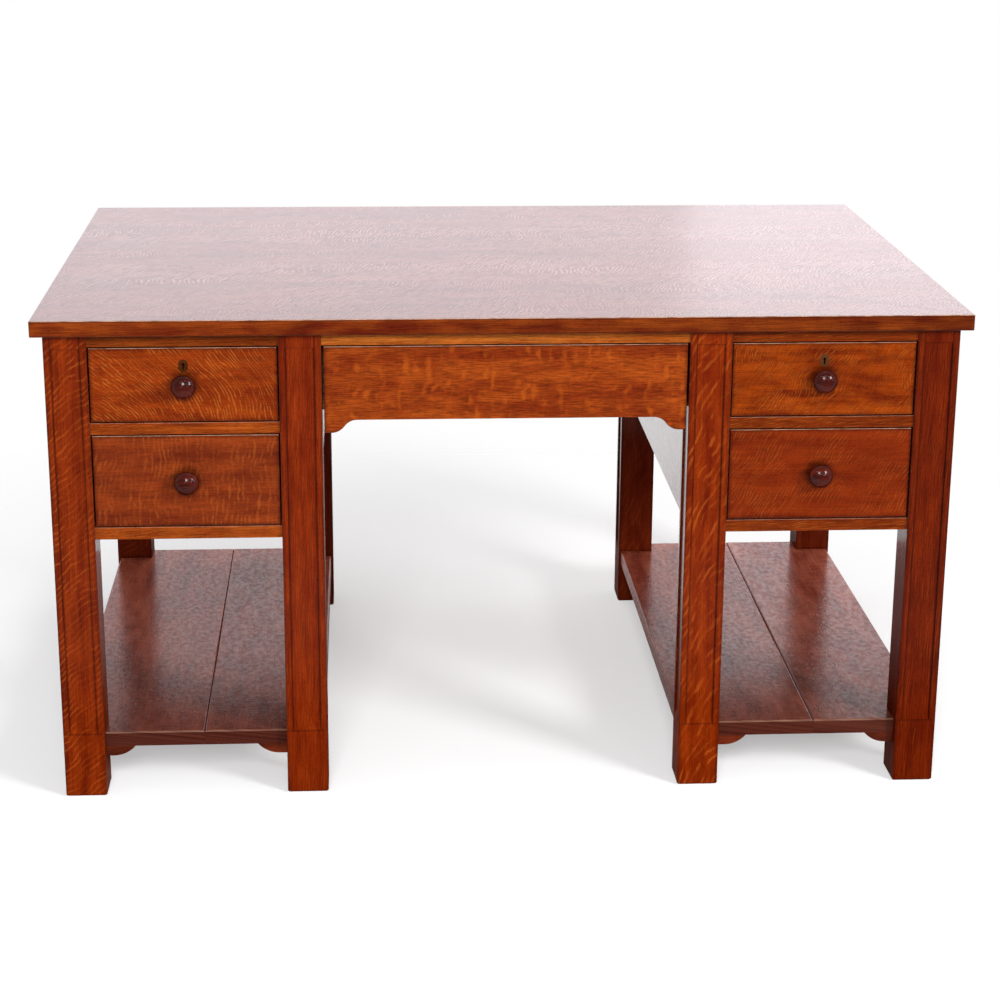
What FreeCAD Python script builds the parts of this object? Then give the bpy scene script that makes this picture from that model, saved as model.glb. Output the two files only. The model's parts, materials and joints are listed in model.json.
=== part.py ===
import FreeCAD, Part
import Sketcher
import math
import os
import re

# A partners desk in quarter-sawn oak: a plain slab top on eight square posts, a pedestal of two
# drawers at each end and a shaped drawer over the kneehole, the same on both long sides, and a
# two-board shelf near the floor of each pedestal.
#
# The origin is on the floor under the middle of the desk, +Z up and X along the desk. Every
# piece is drawn once where X and Y are positive and then mirrored or turned into its other places.

SIZES = {
    # the top and the frame
    "desk_height": 766.0,
    "top_length": 1410.0,
    "top_depth": 963.0,
    "top_thickness": 24.5,
    "top_side_overhang": 17.0,
    "top_end_overhang": 14.0,
    "top_arris": 1.2,
    "post_size": 64.0,
    "post_arris": 1.5,
    "foot_bevel": 3.0,
    "kneehole_width": 554.0,
    # the sunk panel on each outward face of a post
    "sunk_margin": 10.5,
    "sunk_depth": 2.5,
    "sunk_foot": 103.5,
    "sunk_head_clearance": 21.0,
    "sunk_ramp_height": 7.5,
    # rails and drawer openings
    "frame_setback": 3.5,
    "rail_thickness": 22.0,
    "rail_arris": 0.8,
    "top_rail_height": 19.0,
    "upper_opening_height": 117.0,
    "mid_rail_height": 18.0,
    "lower_opening_height": 146.0,
    "bottom_rail_height": 19.0,
    "tenon_length": 22.0,
    "tenon_shoulder": 4.0,
    # panels, dividers and the drawer running gear
    "panel_setback": 8.0,
    "panel_thickness": 18.0,
    "panel_housing": 8.0,
    "divider_thickness": 18.0,
    "runner_overlap": 12.0,
    "guide_height": 25.0,
    "kneehole_runner_thickness": 11.5,
    "kneehole_runner_width": 30.0,
    "glue_block_length": 60.0,
    "glue_block_size": 18.0,
    "glue_block_offset": 71.5,
    # the shelf and the brackets under its front edge
    "shelf_height": 102.0,
    "shelf_thickness": 23.5,
    "shelf_side_setback": 4.0,
    "shelf_end_setback": 14.0,
    "shelf_seam_offset": 12.5,
    "shelf_seam_gap": 0.25,
    "shelf_arris": 3.0,
    "bracket_length": 46.0,
    "bracket_height": 16.0,
    "bracket_thickness": 20.0,
    "bracket_flat": 12.0,
    # drawers
    "front_thickness": 20.0,
    "front_gap": 1.8,
    "front_arris": 1.2,
    "kneehole_front_gap": 3.0,
    "kneehole_front_height": 113.8,
    "running_clearance": 0.3,
    "side_clearance": 0.8,
    "drawer_back_gap": 1.0,
    "drawer_side_drop": 3.8,
    "drawer_side_thickness": 12.0,
    "drawer_back_thickness": 12.0,
    "drawer_back_drop": 6.0,
    "drawer_bottom_thickness": 6.0,
    "drawer_bottom_lift": 8.0,
    "drawer_groove": 5.0,
    "dovetail_length": 14.0,
    "dovetail_root": 12.0,
    "dovetail_tip": 7.0,
    # the shaped ears of the kneehole drawer
    "ear_drop": 20.0,
    "ear_flat": 10.5,
    "ear_curve_length": 39.0,
    # turned knob
    "knob_radius": 18.3,
    "knob_projection": 26.0,
    "knob_rim_radius": 4.5,
    "knob_rim_projection": 15.0,
    "knob_base_radius": 9.5,
    "knob_tenon_radius": 6.0,
    # lock, bolt and escutcheon
    "keyhole_drop": 25.5,
    "keyhole_radius": 2.2,
    "keyhole_slot_width": 2.6,
    "keyhole_slot_length": 8.0,
    "escutcheon_width": 14.5,
    "escutcheon_height": 19.5,
    "escutcheon_thickness": 1.6,
    "escutcheon_stand": 0.2,
    "lock_width": 44.0,
    "lock_height": 44.0,
    "lock_thickness": 9.0,
    "lock_plate_margin": 8.0,
    "lock_plate_thickness": 1.2,
    "bolt_width": 20.0,
    "bolt_thickness": 4.2,
    "bolt_length": 21.0,
    "bolt_clearance": 0.4,
    "bolt_throw": 7.0,
    "bolt_mortise_clearance": 1.5,
}

# Places worked out from the sizes: distances from the middle of the desk, and heights.
PLACES = {
    "top_underside": "desk_height - top_thickness",
    "top_half_length": "top_length / 2",
    "top_half_depth": "top_depth / 2",
    "frame_side": "top_half_length - top_side_overhang",
    "frame_end": "top_half_depth - top_end_overhang",
    "knee_face": "kneehole_width / 2",
    "outer_post_inside": "frame_side - post_size",
    "inner_post_inside": "knee_face + post_size",
    "post_inside_end": "frame_end - post_size",
    "pedestal_middle": "(outer_post_inside + inner_post_inside) / 2",
    "outer_post_middle": "frame_side - post_size / 2",
    "inner_post_middle": "knee_face + post_size / 2",
    "end_post_middle": "frame_end - post_size / 2",
    "face_end": "frame_end - frame_setback",
    "rail_back": "face_end - rail_thickness",
    "top_rail_foot": "top_underside - top_rail_height",
    "upper_opening_foot": "top_rail_foot - upper_opening_height",
    "lower_opening_head": "upper_opening_foot - mid_rail_height",
    "lower_opening_foot": "lower_opening_head - lower_opening_height",
    "case_foot": "lower_opening_foot - bottom_rail_height",
    "outer_panel_face": "frame_side - panel_setback",
    "outer_panel_inside": "outer_panel_face - panel_thickness",
    "knee_panel_face": "knee_face + panel_setback",
    "knee_panel_inside": "knee_panel_face + panel_thickness",
    "divider_face": "divider_thickness / 2",
    "outer_runner_edge": "outer_post_inside - runner_overlap",
    "inner_runner_edge": "inner_post_inside + runner_overlap",
    "opening_half": "(outer_post_inside - inner_post_inside) / 2",
    "opening_half_tenon": "opening_half + tenon_length",
    "knee_face_tenon": "knee_face + tenon_length",
    "tenon_back": "rail_back + tenon_shoulder",
    "tenon_face": "face_end - tenon_shoulder",
    "front_half": "opening_half - front_gap",
    "guide_inset": "front_gap - side_clearance",
    "sunk_floor_foot": "sunk_foot + sunk_ramp_height",
    "sunk_head": "top_underside - sunk_head_clearance",
    "sunk_end": "frame_end - sunk_depth",
    "sunk_side": "frame_side - sunk_depth",
    "sunk_knee": "knee_face + sunk_depth",
    "shelf_foot": "shelf_height - shelf_thickness",
    "shelf_side": "frame_side - shelf_side_setback",
    "shelf_knee": "knee_face + shelf_side_setback",
    "shelf_end": "frame_end - shelf_end_setback",
    "right_seam": "pedestal_middle + shelf_seam_offset",
    "right_seam_outer": "right_seam + shelf_seam_gap / 2",
    "right_seam_inner": "right_seam - shelf_seam_gap / 2",
    "left_seam": "pedestal_middle - shelf_seam_offset",
    "left_seam_outer": "left_seam + shelf_seam_gap / 2",
    "left_seam_inner": "left_seam - shelf_seam_gap / 2",
    "bracket_foot": "shelf_foot - bracket_height",
    "outer_bracket_flat": "outer_post_inside - bracket_flat",
    "outer_bracket_end": "outer_post_inside - bracket_length",
    "inner_bracket_flat": "inner_post_inside + bracket_flat",
    "inner_bracket_end": "inner_post_inside + bracket_length",
    "front_back": "face_end - front_thickness",
    "drawer_end": "divider_face + drawer_back_gap",
    "dovetail_end": "front_back + dovetail_length",
    "bottom_end": "front_back + drawer_groove",
    "kneehole_front_half": "knee_face - kneehole_front_gap",
    "kneehole_guide_face": "kneehole_front_half + side_clearance",
    "kneehole_front_head": "top_rail_foot - front_gap",
    "kneehole_front_foot": "kneehole_front_head - kneehole_front_height",
    "kneehole_runner_foot": "kneehole_front_foot + side_clearance",
    "kneehole_runner_head": "kneehole_runner_foot + kneehole_runner_thickness",
    "kneehole_runner_edge": "knee_panel_face - kneehole_runner_width",
    "ear_foot": "kneehole_front_foot - ear_drop",
    "ear_flat_end": "kneehole_front_half - ear_flat",
    "ear_curve_end": "ear_flat_end - ear_curve_length",
    "upper_front_foot": "upper_opening_foot + front_gap",
    "upper_front_head": "top_rail_foot - front_gap",
    "lower_front_foot": "lower_opening_foot + front_gap",
    "lower_front_head": "lower_opening_head - front_gap",
    "upper_knob_height": "(upper_front_foot + upper_front_head) / 2",
    "lower_knob_height": "(lower_front_foot + lower_front_head) / 2",
    "knob_rim_centre": "knob_radius - knob_rim_radius",
    "keyhole_height": "upper_front_head - keyhole_drop",
    "escutcheon_middle": "keyhole_height - keyhole_slot_length / 4",
    "escutcheon_face": "face_end + escutcheon_stand",
    "lock_end": "front_back + lock_thickness",
    "lock_foot": "upper_front_head - lock_height",
    "bolt_middle": "front_back + lock_thickness / 2",
    "bolt_slot_foot": "upper_front_head - bolt_length - bolt_clearance",
}


# The quarters of the desk as signs of X and Y, and the words that name them.
QUARTERS = ((-1, -1), (1, -1), (-1, 1), (1, 1))
SIDE_NAMES = {-1: "left", 1: "right"}
END_NAMES = {-1: "front", 1: "back"}


def qualified(formula):
    """A formula with each size and place written as a cell of its sheet."""

    def cell(match):
        word = match.group()
        if word in SIZES:
            return "Sizes." + word
        return "Places." + word if word in PLACES else word

    return re.sub(r"[a-z_]+", cell, formula)


def fill_sheet(doc, name, cells):
    """Adds a spreadsheet whose first column holds the cells, each under its own alias."""
    sheet = doc.addObject("Spreadsheet::Sheet", name)
    for row, (alias, content) in enumerate(cells.items(), start=1):
        sheet.set(f"A{row}", content)
        sheet.setAlias(f"A{row}", alias)
    return sheet


def bind(piece, path, formula):
    """Ties one property of an object to a formula of sizes and places."""
    piece.setExpression(path, qualified(formula))


def place(piece, x="0", y="0", z="0"):
    """Ties an object's position to three formulas."""
    bind(piece, "Placement.Base.x", x)
    bind(piece, "Placement.Base.y", y)
    bind(piece, "Placement.Base.z", z)


class Workshop:
    """Makes the desk's pieces in one document and keeps those that are sub-parts."""

    def __init__(self):
        self.doc = FreeCAD.newDocument("PartnersDesk")
        sizes = {alias: str(number) for alias, number in SIZES.items()}
        places = {
            alias: "=" + qualified(formula).replace("Places.", "")
            for alias, formula in PLACES.items()
        }
        self.sheets = {
            "Sizes": fill_sheet(self.doc, "Sizes", sizes),
            "Places": fill_sheet(self.doc, "Places", places),
        }
        self.doc.recompute()
        self.sub_parts = []

    def value(self, alias):
        """The number that a size or place holds now, negative where its name has a minus."""
        word = alias.lstrip("-")
        if word == "0":
            return 0.0
        sheet = self.sheets["Sizes" if word in SIZES else "Places"]
        number = float(getattr(sheet, word))
        return -number if alias.startswith("-") else number

    # ---- plain solids -------------------------------------------------------------------

    def board(self, name, x, y, z):
        """A rectangular board between a low and a high formula along each axis."""
        box = self.doc.addObject("Part::Box", name)
        for axis, side, (low, high) in (("x", "Length", x), ("y", "Width", y), ("z", "Height", z)):
            bind(box, "Placement.Base." + axis, low)
            bind(box, side, f"({high}) - ({low})")
        return box

    def group(self, name, members):
        """Several separate pieces held as one object."""
        compound = self.doc.addObject("Part::Compound", name)
        compound.Links = members
        return compound

    def cut(self, name, base, tools):
        """A piece with the shapes of other pieces taken out of it."""
        result = self.doc.addObject("Part::Cut", name)
        result.Base = base
        result.Tool = tools[0] if len(tools) == 1 else self.group(name + "_tools", tools)
        return result

    def mirrored(self, name, source, normal):
        """A piece mirrored through the middle of the desk."""
        mirror = self.doc.addObject("Part::Mirroring", name)
        mirror.Source = source
        mirror.Base = FreeCAD.Vector(0, 0, 0)
        mirror.Normal = FreeCAD.Vector(*normal)
        return mirror

    def to_quarter(self, name, source, side, end):
        """The piece drawn at right back, moved to another quarter of the desk by its signs."""
        if side > 0 and end > 0:
            return self.group(name, [source])
        if side < 0 and end < 0:
            turned = self.group(name, [source])
            turned.Placement = FreeCAD.Placement(
                FreeCAD.Vector(0, 0, 0), FreeCAD.Rotation(FreeCAD.Vector(0, 0, 1), 180)
            )
            return turned
        return self.mirrored(name, source, (1, 0, 0) if side < 0 else (0, 1, 0))

    def in_quarters(self, name, source):
        """The piece in all four quarters of the desk."""
        return [
            self.to_quarter(f"{name}_{index}", source, side, end)
            for index, (side, end) in enumerate(QUARTERS)
        ]

    def keep(self, piece, label):
        """Names an object as one of the desk's sub-parts."""
        piece.Label = label
        self.sub_parts.append(piece)
        return piece

    # ---- drawn solids -------------------------------------------------------------------

    def body(self, name):
        return self.doc.addObject("PartDesign::Body", name)

    def sketch(self, body, name, plane, offset="0"):
        """A sketch on one of the body's own origin planes, moved along the plane's normal."""
        sketch = body.newObject("Sketcher::SketchObject", name)
        support = next(item for item in body.Origin.OriginFeatures if item.Role == plane)
        sketch.AttachmentSupport = (support, [""])
        sketch.MapMode = "FlatFace"
        bind(sketch, "AttachmentOffset.Base.z", offset)
        return sketch

    def pin(self, sketch, edge, end, corner):
        """Holds one end of a sketch edge at a named corner."""
        for kind, axis, alias in (("DistanceX", -2, corner[0]), ("DistanceY", -1, corner[1])):
            if alias == "0":
                sketch.addConstraint(Sketcher.Constraint("PointOnObject", edge, end, axis))
                continue
            number = self.value(alias)
            points = (edge, end, -1, 1) if number < 0 else (-1, 1, edge, end)
            index = sketch.addConstraint(Sketcher.Constraint(kind, *points, abs(number)))
            sketch.setExpression(f"Constraints[{index}]", qualified(alias.lstrip("-")))

    def vector(self, corner):
        return FreeCAD.Vector(self.value(corner[0]), self.value(corner[1]), 0)

    def outline(self, sketch, corners, ogees=(), sweeps=()):
        """Draws a closed outline through named corners.

        Each edge is straight, unless the number of its first corner is in ogees or in sweeps.
        """
        ends = []
        count = len(corners)
        for index, corner in enumerate(corners):
            start, finish = self.vector(corner), self.vector(corners[(index + 1) % count])
            if index in ogees:
                ends.append(self.ogee(sketch, start, finish))
            elif index in sweeps:
                ends.append(self.sweep(sketch, start, finish))
            else:
                edge = sketch.addGeometry(Part.LineSegment(start, finish))
                ends.append(((edge, 1), (edge, 2)))
        for index, corner in enumerate(corners):
            first, previous = ends[index][0], ends[index - 1][1]
            sketch.addConstraint(Sketcher.Constraint("Coincident", *previous, *first))
            self.pin(sketch, first[0], first[1], corner)

    def ogee(self, sketch, start, finish):
        """Two equal arcs that leave start level, meet half way and reach finish level."""
        run, rise = finish.x - start.x, finish.y - start.y
        radius = (run * run + rise * rise) / (4 * abs(rise))
        middle = (start + finish) / 2
        lift = FreeCAD.Vector(0, math.copysign(radius, rise), 0)
        half_turn = math.asin(abs(run) / 2 / radius) / 2
        step = FreeCAD.Vector(
            math.copysign(radius * math.sin(half_turn), run),
            math.copysign(radius * (1 - math.cos(half_turn)), rise),
            0,
        )
        first = sketch.addGeometry(Part.Arc(start, start + step, middle))
        second = sketch.addGeometry(Part.Arc(middle, finish - step, finish))
        first_start = self.end_at(sketch, first, start)
        second_end = self.end_at(sketch, second, finish)
        joint = (first, 3 - first_start, second, 3 - second_end)
        sketch.addConstraint(Sketcher.Constraint("Tangent", *joint))
        sketch.addConstraint(Sketcher.Constraint("Vertical", first, 3, first, first_start))
        sketch.addConstraint(Sketcher.Constraint("Vertical", second, 3, second, second_end))
        sketch.addConstraint(Sketcher.Constraint("Equal", first, second))
        return (first, first_start), (second, second_end)

    def sweep(self, sketch, start, finish):
        """One arc that leaves start level and turns away to reach finish."""
        run, rise = finish.x - start.x, finish.y - start.y
        radius = (run * run + rise * rise) / (2 * abs(rise))
        half_turn = math.atan2(abs(rise), abs(run))
        middle = start + FreeCAD.Vector(
            math.copysign(radius * math.sin(half_turn), run),
            math.copysign(radius * (1 - math.cos(half_turn)), rise),
            0,
        )
        edge = sketch.addGeometry(Part.Arc(start, middle, finish))
        first = self.end_at(sketch, edge, start)
        sketch.addConstraint(Sketcher.Constraint("Vertical", edge, 3, edge, first))
        return (edge, first), (edge, 3 - first)

    def end_at(self, sketch, edge, point):
        """Which end of a sketch edge, 1 or 2, lies nearer to a point."""
        return min((1, 2), key=lambda end: (sketch.getPoint(edge, end) - point).Length)

    def pad(self, body, sketch, name, length):
        """Extrudes a sketch along its plane's normal."""
        feature = body.newObject("PartDesign::Pad", name)
        feature.Profile = sketch
        bind(feature, "Length", length)
        return feature

    def pocket(self, body, sketch, name, length):
        """Cuts a sketch out of the body, as far to each side of its plane."""
        feature = body.newObject("PartDesign::Pocket", name)
        feature.Profile = sketch
        feature.SideType = "Symmetric"
        bind(feature, "Length", length)
        return feature

    def eased(self, body, base, name, chosen, kind, dimension, size):
        """Eases the edges of a feature whose every corner passes a test."""
        self.doc.recompute()
        edges = [
            f"Edge{number}"
            for number, edge in enumerate(base.Shape.Edges, start=1)
            if chosen([vertex.Point for vertex in edge.Vertexes])
        ]
        feature = body.newObject("PartDesign::" + kind, name)
        feature.Base = (base, edges)
        bind(feature, dimension, size)
        body.Tip = feature
        return feature

    def rounded(self, body, base, name, radius, chosen):
        """Rounds the chosen edges."""
        return self.eased(body, base, name, chosen, "Fillet", "Radius", radius)

    def bevelled(self, body, base, name, width, chosen):
        """Bevels the chosen edges, by the same width on both faces."""
        return self.eased(body, base, name, chosen, "Chamfer", "Size", width)


def rectangle(half_width, foot, head):
    """The corners of a rectangle centred on the sketch's upright axis."""
    return [
        ("-" + half_width, foot),
        (half_width, foot),
        (half_width, head),
        ("-" + half_width, head),
    ]


def near(first, second):
    """Whether two places are the same to well under a hundredth of a millimetre."""
    return abs(first - second) < 1e-4


# ---- the top ----------------------------------------------------------------------------


def make_top(shop):
    """The slab: one wide panel with softened edges."""
    body = shop.body("TopBody")
    sketch = shop.sketch(body, "TopOutline", "XY_Plane", "top_underside")
    shop.outline(sketch, rectangle("top_half_length", "-top_half_depth", "top_half_depth"))
    slab = shop.pad(body, sketch, "TopSlab", "top_thickness")
    shop.rounded(body, slab, "TopArris", "top_arris", lambda points: True)
    return shop.keep(body, "table_top")


# ---- rails ------------------------------------------------------------------------------


def make_rail(shop, name, middle, half_length, foot, height):
    """A rail with a shouldered tenon at each end, drawn at the back of the desk."""
    body = shop.body(name)
    place(body, x=middle)
    shoulder = shop.sketch(body, name + "Shoulder", "XY_Plane", foot)
    shop.outline(shoulder, rectangle(half_length, "rail_back", "face_end"))
    bar = shop.pad(body, shoulder, name + "Bar", height)
    face = shop.value("face_end")
    shop.rounded(
        body,
        bar,
        name + "Arris",
        "rail_arris",
        lambda points: len(points) == 2
        and all(near(point.y, face) for point in points)
        and near(points[0].z, points[1].z),
    )
    tenon = shop.sketch(body, name + "TenonSketch", "XY_Plane", f"{foot} + tenon_shoulder")
    shop.outline(tenon, rectangle(half_length + "_tenon", "tenon_back", "tenon_face"))
    tongue = shop.pad(body, tenon, name + "Tenon", f"{height} - 2 * tenon_shoulder")
    body.Tip = tongue
    return body




def make_rails(shop):
    """Three rails across each pedestal and one across the kneehole, at both ends."""
    levels = {
        "Top": ("top_rail_foot", "top_rail_height"),
        "Mid": ("lower_opening_head", "mid_rail_height"),
        "Bottom": ("case_foot", "bottom_rail_height"),
    }
    rails = {
        level: make_rail(shop, level + "Rail", "pedestal_middle", "opening_half", foot, height)
        for level, (foot, height) in levels.items()
    }
    knee_rail = make_rail(
        shop, "KneeRail", "0", "knee_face", "top_rail_foot", "top_rail_height"
    )
    bolt_mortise = shop.board(
        "BoltMortise",
        (
            "pedestal_middle - bolt_width / 2 - bolt_mortise_clearance",
            "pedestal_middle + bolt_width / 2 + bolt_mortise_clearance",
        ),
        (
            "bolt_middle - bolt_thickness / 2 - bolt_mortise_clearance",
            "bolt_middle + bolt_thickness / 2 + bolt_mortise_clearance",
        ),
        ("top_rail_foot - front_gap", "top_rail_foot + bolt_throw"),
    )
    rails["Top"] = shop.cut("MortisedTopRail", rails["Top"], [bolt_mortise])
    for side in (-1, 1):
        members = [
            shop.to_quarter(f"{level}Rail_{side}_{end}", rail, side, end)
            for end in (-1, 1)
            for level, rail in rails.items()
        ]
        shop.keep(shop.group(f"Rails_{side}", members), f"{SIDE_NAMES[side]}_pedestal_rails")
    both_ends = [shop.to_quarter(f"KneeRail_{end}", knee_rail, 1, end) for end in (-1, 1)]
    shop.keep(shop.group("KneeRails", both_ends), "kneehole_rails")
    return list(rails.values()), knee_rail


# ---- side panels and dividers -----------------------------------------------------------


def make_panels(shop):
    """The four long panels of the pedestals, housed in the posts, and the dividers."""
    reach = "post_inside_end + panel_housing"
    panels = {}
    for name, near_face, far_face in (
        ("outer", "outer_panel_inside", "outer_panel_face"),
        ("kneehole", "knee_panel_face", "knee_panel_inside"),
    ):
        panels[name] = shop.board(
            name + "_panel_board",
            (near_face, far_face),
            (f"-({reach})", reach),
            ("case_foot", "top_underside"),
        )
        shop.keep(shop.group(f"RightPanel_{name}", [panels[name]]), f"right_{name}_side_panel")
        shop.keep(
            shop.mirrored(f"LeftPanel_{name}", panels[name], (1, 0, 0)), f"left_{name}_side_panel"
        )
    thickness = ("-divider_face", "divider_face")
    pedestal_divider = shop.board(
        "PedestalDivider",
        ("knee_panel_inside", "outer_panel_inside"),
        thickness,
        ("case_foot", "top_underside"),
    )
    kneehole_divider = shop.board(
        "KneeholeDivider",
        ("-knee_panel_face", "knee_panel_face"),
        thickness,
        ("kneehole_runner_foot", "top_underside"),
    )
    left_divider = shop.mirrored("LeftDivider", pedestal_divider, (1, 0, 0))
    shop.keep(
        shop.group("Dividers", [left_divider, kneehole_divider, pedestal_divider]),
        "drawer_dividers",
    )
    return panels


# ---- posts ------------------------------------------------------------------------------


def make_post(shop, name, x_range, sunk_x, rails, panel):
    """A square post with a bevelled foot, two sunk panels and mortises for what it holds.

    x_range holds the names of its inner side, middle and outer side; sunk_x holds the surface
    and the floor of the sunk panel on its exposed side.
    """
    low, middle, high = x_range
    body = shop.body(name + "Body")
    plan = shop.sketch(body, name + "Plan", "XY_Plane")
    shop.outline(
        plan,
        [
            (low, "post_inside_end"),
            (high, "post_inside_end"),
            (high, "frame_end"),
            (low, "frame_end"),
        ],
    )
    blank = shop.pad(body, plan, name + "Blank", "top_underside")
    foot = shop.bevelled(
        body,
        blank,
        name + "Foot",
        "foot_bevel",
        lambda points: all(near(point.z, 0) for point in points),
    )
    head = shop.value("top_underside")
    shop.rounded(
        body,
        foot,
        name + "Arris",
        "post_arris",
        lambda points: not all(near(point.z, head) for point in points),
    )
    sinkings = (
        ("End", "YZ_Plane", middle, "frame_end", "sunk_end"),
        ("Side", "XZ_Plane", "-end_post_middle", sunk_x[0], sunk_x[1]),
    )
    for face, plane, offset, surface, floor in sinkings:
        profile = shop.sketch(body, f"{name}{face}Profile", plane, offset)
        shop.outline(
            profile,
            [
                (surface, "sunk_foot"),
                (floor, "sunk_floor_foot"),
                (floor, "sunk_head"),
                (surface, "sunk_head"),
            ],
        )
        sunk = shop.pocket(body, profile, f"{name}{face}Sinking", "post_size - 2 * sunk_margin")
        body.Tip = sunk
    return shop.cut(name, body, rails + [panel])


def make_posts(shop, pedestal_rails, knee_rail, panels):
    """Eight posts: an outer and an inner one in each quarter."""
    outer = make_post(
        shop,
        "OuterPost",
        ("outer_post_inside", "outer_post_middle", "frame_side"),
        ("frame_side", "sunk_side"),
        pedestal_rails,
        panels["outer"],
    )
    inner = make_post(
        shop,
        "InnerPost",
        ("knee_face", "inner_post_middle", "inner_post_inside"),
        ("knee_face", "sunk_knee"),
        pedestal_rails + [knee_rail],
        panels["kneehole"],
    )
    for kind, post in (("outer", outer), ("inner", inner)):
        for side, end in QUARTERS:
            name = f"{END_NAMES[end]}_{SIDE_NAMES[side]}_{kind}_post"
            shop.keep(shop.to_quarter(f"Post_{name}", post, side, end), name)


# ---- drawer running gear ----------------------------------------------------------------


def make_runner(shop, name, wall, post_side, edge, foot, height):
    """A strip along a side panel, stepped past the post to meet the rail."""
    body = shop.body(name)
    plan = shop.sketch(body, name + "Plan", "XY_Plane", foot)
    shop.outline(
        plan,
        [
            (wall, "divider_face"),
            (wall, "post_inside_end"),
            (post_side, "post_inside_end"),
            (post_side, "rail_back"),
            (edge, "rail_back"),
            (edge, "divider_face"),
        ],
    )
    shop.pad(body, plan, name + "Strip", height)
    return body


def make_running_gear(shop):
    """Runners under the drawers, kickers over them and guides beside them."""
    sides = {
        "Outer": ("outer_panel_inside", "outer_post_inside", "outer_runner_edge"),
        "Inner": ("knee_panel_inside", "inner_post_inside", "inner_runner_edge"),
    }
    levels = {
        "Lower": ("case_foot", "bottom_rail_height"),
        "Upper": ("lower_opening_head", "mid_rail_height"),
        "Kicker": ("top_rail_foot", "top_rail_height"),
    }
    along = ("divider_face", "post_inside_end")
    guide_spans = {
        "Outer": ("outer_post_inside - guide_inset", "outer_panel_inside"),
        "Inner": ("knee_panel_inside", "inner_post_inside + guide_inset"),
    }
    strips = {"runners": [], "kickers": [], "guides": []}
    for side, edges in sides.items():
        for level, (foot, height) in levels.items():
            strip = make_runner(shop, f"{side}{level}Runner", *edges, foot, height)
            strips["kickers" if level == "Kicker" else "runners"].append(strip)
        for level, foot in (("Lower", "lower_opening_foot"), ("Upper", "upper_opening_foot")):
            guide = shop.board(
                f"{side}{level}Guide", guide_spans[side], along, (foot, f"{foot} + guide_height")
            )
            strips["guides"].append(guide)
    knee_span = ("kneehole_runner_edge", "knee_panel_face")
    strips["runners"].append(
        shop.board(
            "KneeRunner", knee_span, along, ("kneehole_runner_foot", "kneehole_runner_head")
        )
    )
    strips["guides"].append(
        shop.board(
            "KneeGuide",
            ("kneehole_guide_face", "knee_panel_face"),
            along,
            ("kneehole_runner_head", "top_rail_foot"),
        )
    )
    strips["kickers"].append(
        shop.board("KneeKicker", knee_span, along, ("top_rail_foot", "top_underside"))
    )
    for kind, members in strips.items():
        copies = [copy for piece in members for copy in shop.in_quarters(piece.Name, piece)]
        shop.keep(shop.group("All" + kind, copies), "drawer_" + kind)


def make_glue_blocks(shop):
    """Blocks rubbed into the corner between the top and each top rail."""
    depth = ("rail_back - glue_block_size", "rail_back")
    height = ("top_underside - glue_block_size", "top_underside")
    half = "glue_block_length / 2"
    middles = {
        "Near": "inner_post_inside + glue_block_offset",
        "Far": "outer_post_inside - glue_block_offset",
        "Knee": "knee_face / 2",
    }
    blocks = []
    for name, middle in middles.items():
        span = (f"{middle} - {half}", f"{middle} + {half}")
        block = shop.board(f"{name}Block", span, depth, height)
        blocks += shop.in_quarters(name + "Blocks", block)
    shop.keep(shop.group("GlueBlocks", blocks), "top_glue_blocks")


# ---- shelves ----------------------------------------------------------------------------


def make_shelf_board(shop, name, seam, post_side, edge):
    """One of a shelf's two boards, notched round the posts at its outer corners."""
    body = shop.body(name)
    plan = shop.sketch(body, name + "Plan", "XY_Plane", "shelf_foot")
    shop.outline(
        plan,
        [
            (seam, "-shelf_end"),
            (post_side, "-shelf_end"),
            (post_side, "-post_inside_end"),
            (edge, "-post_inside_end"),
            (edge, "post_inside_end"),
            (post_side, "post_inside_end"),
            (post_side, "shelf_end"),
            (seam, "shelf_end"),
        ],
    )
    blank = shop.pad(body, plan, name + "Blank", "shelf_thickness")
    end, side, top = shop.value("shelf_end"), shop.value(edge), shop.value("shelf_height")
    shop.rounded(
        body,
        blank,
        name + "Arris",
        "shelf_arris",
        lambda points: all(near(point.z, top) for point in points)
        and (
            all(near(abs(point.y), end) for point in points)
            or all(near(point.x, side) for point in points)
        ),
    )
    return body


def make_shelves(shop):
    """The two-board shelf of each pedestal, its boards a hair apart where they have shrunk."""
    for side, side_name in SIDE_NAMES.items():
        boards = [
            make_shelf_board(shop, f"Shelf_{side_name}_{board}", f"{side_name}_seam_{board}", *edges)
            for board, edges in (
                ("outer", ("outer_post_inside", "shelf_side")),
                ("inner", ("inner_post_inside", "shelf_knee")),
            )
        ]
        if side < 0:
            boards = [shop.mirrored(board.Name + "_left", board, (1, 0, 0)) for board in boards]
        shop.keep(shop.group(f"Shelf_{side_name}", boards), f"{side_name}_shelf")


def make_brackets(shop):
    """Small brackets under the ends of the shelves, one beside each post, swept up to a point."""
    shapes = {
        "OuterBracket": ("outer_post_inside", "outer_bracket_flat", "outer_bracket_end"),
        "InnerBracket": ("inner_post_inside", "inner_bracket_flat", "inner_bracket_end"),
    }
    brackets = []
    for name, (post_side, flat, tip) in shapes.items():
        body = shop.body(name)
        profile = shop.sketch(body, name + "Profile", "XZ_Plane", "-shelf_end")
        shop.outline(
            profile,
            [
                (post_side, "shelf_foot"),
                (post_side, "bracket_foot"),
                (flat, "bracket_foot"),
                (tip, "shelf_foot"),
            ],
            sweeps=(2,),
        )
        shop.pad(body, profile, name + "Block", "bracket_thickness")
        brackets += shop.in_quarters(name + "s", body)
    shop.keep(shop.group("Brackets", brackets), "shelf_brackets")


# ---- drawers ----------------------------------------------------------------------------


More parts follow.
